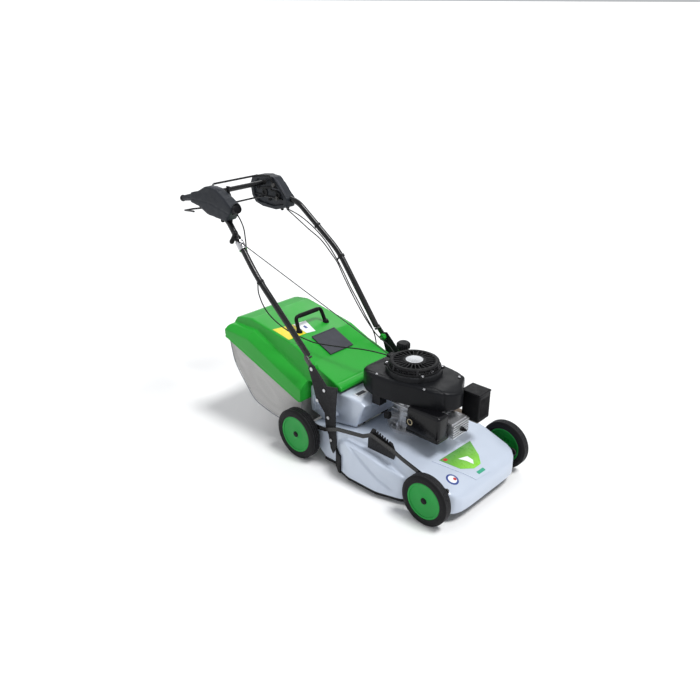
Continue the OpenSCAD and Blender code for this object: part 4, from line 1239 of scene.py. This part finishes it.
def make_left_housing():
    body = combine(prism(LEFT_HOUSING, 170, 222, "housing"), make_horn(1), "UNION")
    soften(body, 3.0, 10)

    def shape(p, normals):
        # a sunken panel in the inner face, and a seam round the outer one
        within = inside(p[:, [0, 2]], PANEL) & (normals[:, 1] < -0.5)
        seam = 1.4 * (1 - step(np.abs(p[:, 2] - np.interp(p[:, 0], [-740, -500], [930, 908])), 0.7, 2.8))
        return p - normals * (9.0 * within + seam * (normals[:, 1] > 0.4))[:, None]

    each_vertex(body, shape)
    body.name = "housing_skin_left"
    dress(body, "soft", "handle", 50.0, ("control_housing_left",))
    make_horn_cap(1, "left")
    parts = []
    for x, z, r, high in ((-560, 930, 15, 7), (-600, 952, 11, 6), (-652, 930, 19, 5), (-694, 948, 9, 7),
                          (-616, 904, 8, 8)):
        parts.append(lathe("boss", [(0, -2), (r, -2), (r, high - 1.5), (r - 1.5, high), (r * 0.45, high),
                                    (r * 0.4, high - 3), (0, high - 3)], (x, 179, z), (0, -1, 0), 32))
    rib = prism([(-716, 914), (-716, 918), (-530, 916), (-530, 912)], 172.5, 182)
    parts.append(bake(bevel(rib, 0.8)))
    link = prism([(-700, 938), (-694, 948), (-600, 966), (-560, 944), (-564, 934), (-604, 954)], 174, 177)
    parts.append(bake(bevel(link, 0.6)))
    for x, y, z, r in ((-514, 184, 880, 6), (-528, 204, 874, 6), (-560, 196, 862, 8)):
        parts.append(tube("nub", [(x, y, z + 12), (x + 3, y, z + 2), (x + 5, y, z - 4)], [r, r, r * 0.8], 18))
    dress(join(parts, "housing_trim_left"), "plastic", "handle", 40.0)
    edge = tube("housing_edge", [(-500, 171.5, 938), (-520, 171, 957), (-553, 170.6, 992),
                                 (-584, 170.8, 1010)],
                [2.4, 3.2, 3.2, 2.4], 14)
    shelf = soft_box((-596, 171, 954), (-536, 196, 960), 1.2)
    dress(join([edge, shelf], "housing_edge"), "grey", "handle", 40.0)


def make_grip():
    across = Vector((-0.55, 0.02, -0.83)).normalized()
    mid = ROPE_EYE + ROPE_WAY * 40
    line = [mid + across * t for t in (-32, -24, -12, 0, 12, 24, 34)]
    bar = tube("bar", line, [9.4, 10.2, 9.0, 8.6, 9.0, 10.2, 9.4], 24)
    stem = tube("stem", [ROPE_EYE + ROPE_WAY * t for t in (12, 18, 26, 36)], [5.4, 6.6, 7.6, 9], 20)
    dress(join([bar, stem], "grip_skin"), "plastic", "starter_grip", 40.0, ("starter_grip",))


def make_clips():
    parts = []
    for s in (1, -1):
        foot, knee, shoulder = [Vector(p) for p in side(LEFT_TUBE, s)[:3]]
        way = (foot - knee).normalized()
        at = knee + way * 26
        parts.append(lathe("band", [(12.7, -5), (15.2, -5), (15.6, 0), (15.2, 5), (12.7, 5)], at, way, 28))
        parts.append(tube("nib", [at + Vector((0, -s * 14, -4)), at + Vector((-2, -s * 20, -8)),
                                  at + Vector((-4, -s * 22, -14))], 4, 12))
        way = (shoulder - knee).normalized()
        at = knee + way * (150 if s > 0 else 190)
        parts.append(lathe("band", [(12.7, -4), (15.0, -4), (15.4, 0), (15.0, 4), (12.7, 4)], at, way, 28))
    dress(join(parts, "cable_clips"), "plastic", "handle", 35.0)


make_tubes()
make_left_housing()
make_right_housing()
make_grip()
make_clips()


# ---------- CAD nodes that keep their shape ----------

# deck_rim is drawn as a near-black band along the deck's lower edge
for name, material, width in (
        ("deck_rim", "dark_matte", 1.6), ("bracket_left", "plastic", 1.2), ("bracket_right", "plastic", 1.2),
        ("deck_bolts", "steel", 0.6), ("height_comb", "plastic", 1.2), ("crankcase", "cast", 1.4),
        ("cylinder", "cast", 1.0), ("spark_plug", "plastic", 0.5), ("carburettor", "cast", 1.0),
        ("muffler", "hot", 2.0), ("fuel_tank", "plastic", 2.0), ("drive_belt", "dark_matte", 0.8),
        ("crankshaft", "steel", 0.5), ("flywheel", "cast", 1.0), ("blade_adapter", "iron", 1.0),
        ("blade", "iron", 0.8), ("blade_bolt", "steel", 0.6), ("recoil_pulley", "nylon", 0.6),
        ("gearbox_pulley", "iron", 1.0), ("rear_arms", "paint", 1.0), ("gearbox", "cast", 1.5),
        ("drive_shaft", "steel", 0.8), ("front_axle", "paint", 1.0), ("height_link", "paint", 0.9),
        ("knob_left", "green", 0.9), ("knob_right", "green", 0.9), ("rope_guide", "steel", 1.0),
        ("throttle_lever", "plastic", 1.2), ("upper_bail", "paint", 0.0), ("lower_bail", "paint", 0.0),
        ("oil_cap", "plastic", 1.0), ("bag_frame", "steel", 0.0), ("level_flap", "grey", 1.2),
        ("rear_flap", "dark_green", 1.2)):
    node(name, material, width)


# ---------- floor and light ----------

def make_studio():
    lines = (-FLOOR_REACH, -20, 20, FLOOR_REACH)
    floor = from_lists("floor", [(x, y, -0.0005) for x in lines for y in lines],
                       [(k, k + 4, k + 5, k + 1) for k in range(11) if k % 4 < 3])
    n = Nodes("floor")
    n.link(n.mix(n.span(n.noise(2.0), 0.0, 1.0), (0.86, 0.86, 0.86), (0.88, 0.88, 0.88)),
           n.shader.inputs["Base Color"])
    n.link(n.span(n.noise(3.0), 0.8, 0.9), n.shader.inputs["Roughness"])
    floor.data.materials.append(n.mat)
    world = bpy.data.worlds.new("studio")
    world.use_nodes = True
    world.node_tree.nodes["Background"].inputs["Color"].default_value = (0.95, 0.97, 1.0, 1)
    world.node_tree.nodes["Background"].inputs["Strength"].default_value = 0.52
    scene.world = world
    for name, place, energy, spread in (("key", (1.0, 0.35, 2.4), 2.5, 0.30),
                                        ("fill", (-1.2, -1.6, 1.0), 0.25, 0.9),
                                        ("rim", (-1.4, 1.6, 1.6), 0.5, 0.6)):
        lamp = bpy.data.lights.new(name, "SUN")
        lamp.energy = energy
        lamp.angle = spread
        obj = bpy.data.objects.new(name, lamp)
        obj.location = place
        obj.rotation_euler = Vector([-c for c in place]).to_track_quat("-Z", "Y").to_euler()
        scene.collection.objects.link(obj)


make_studio()
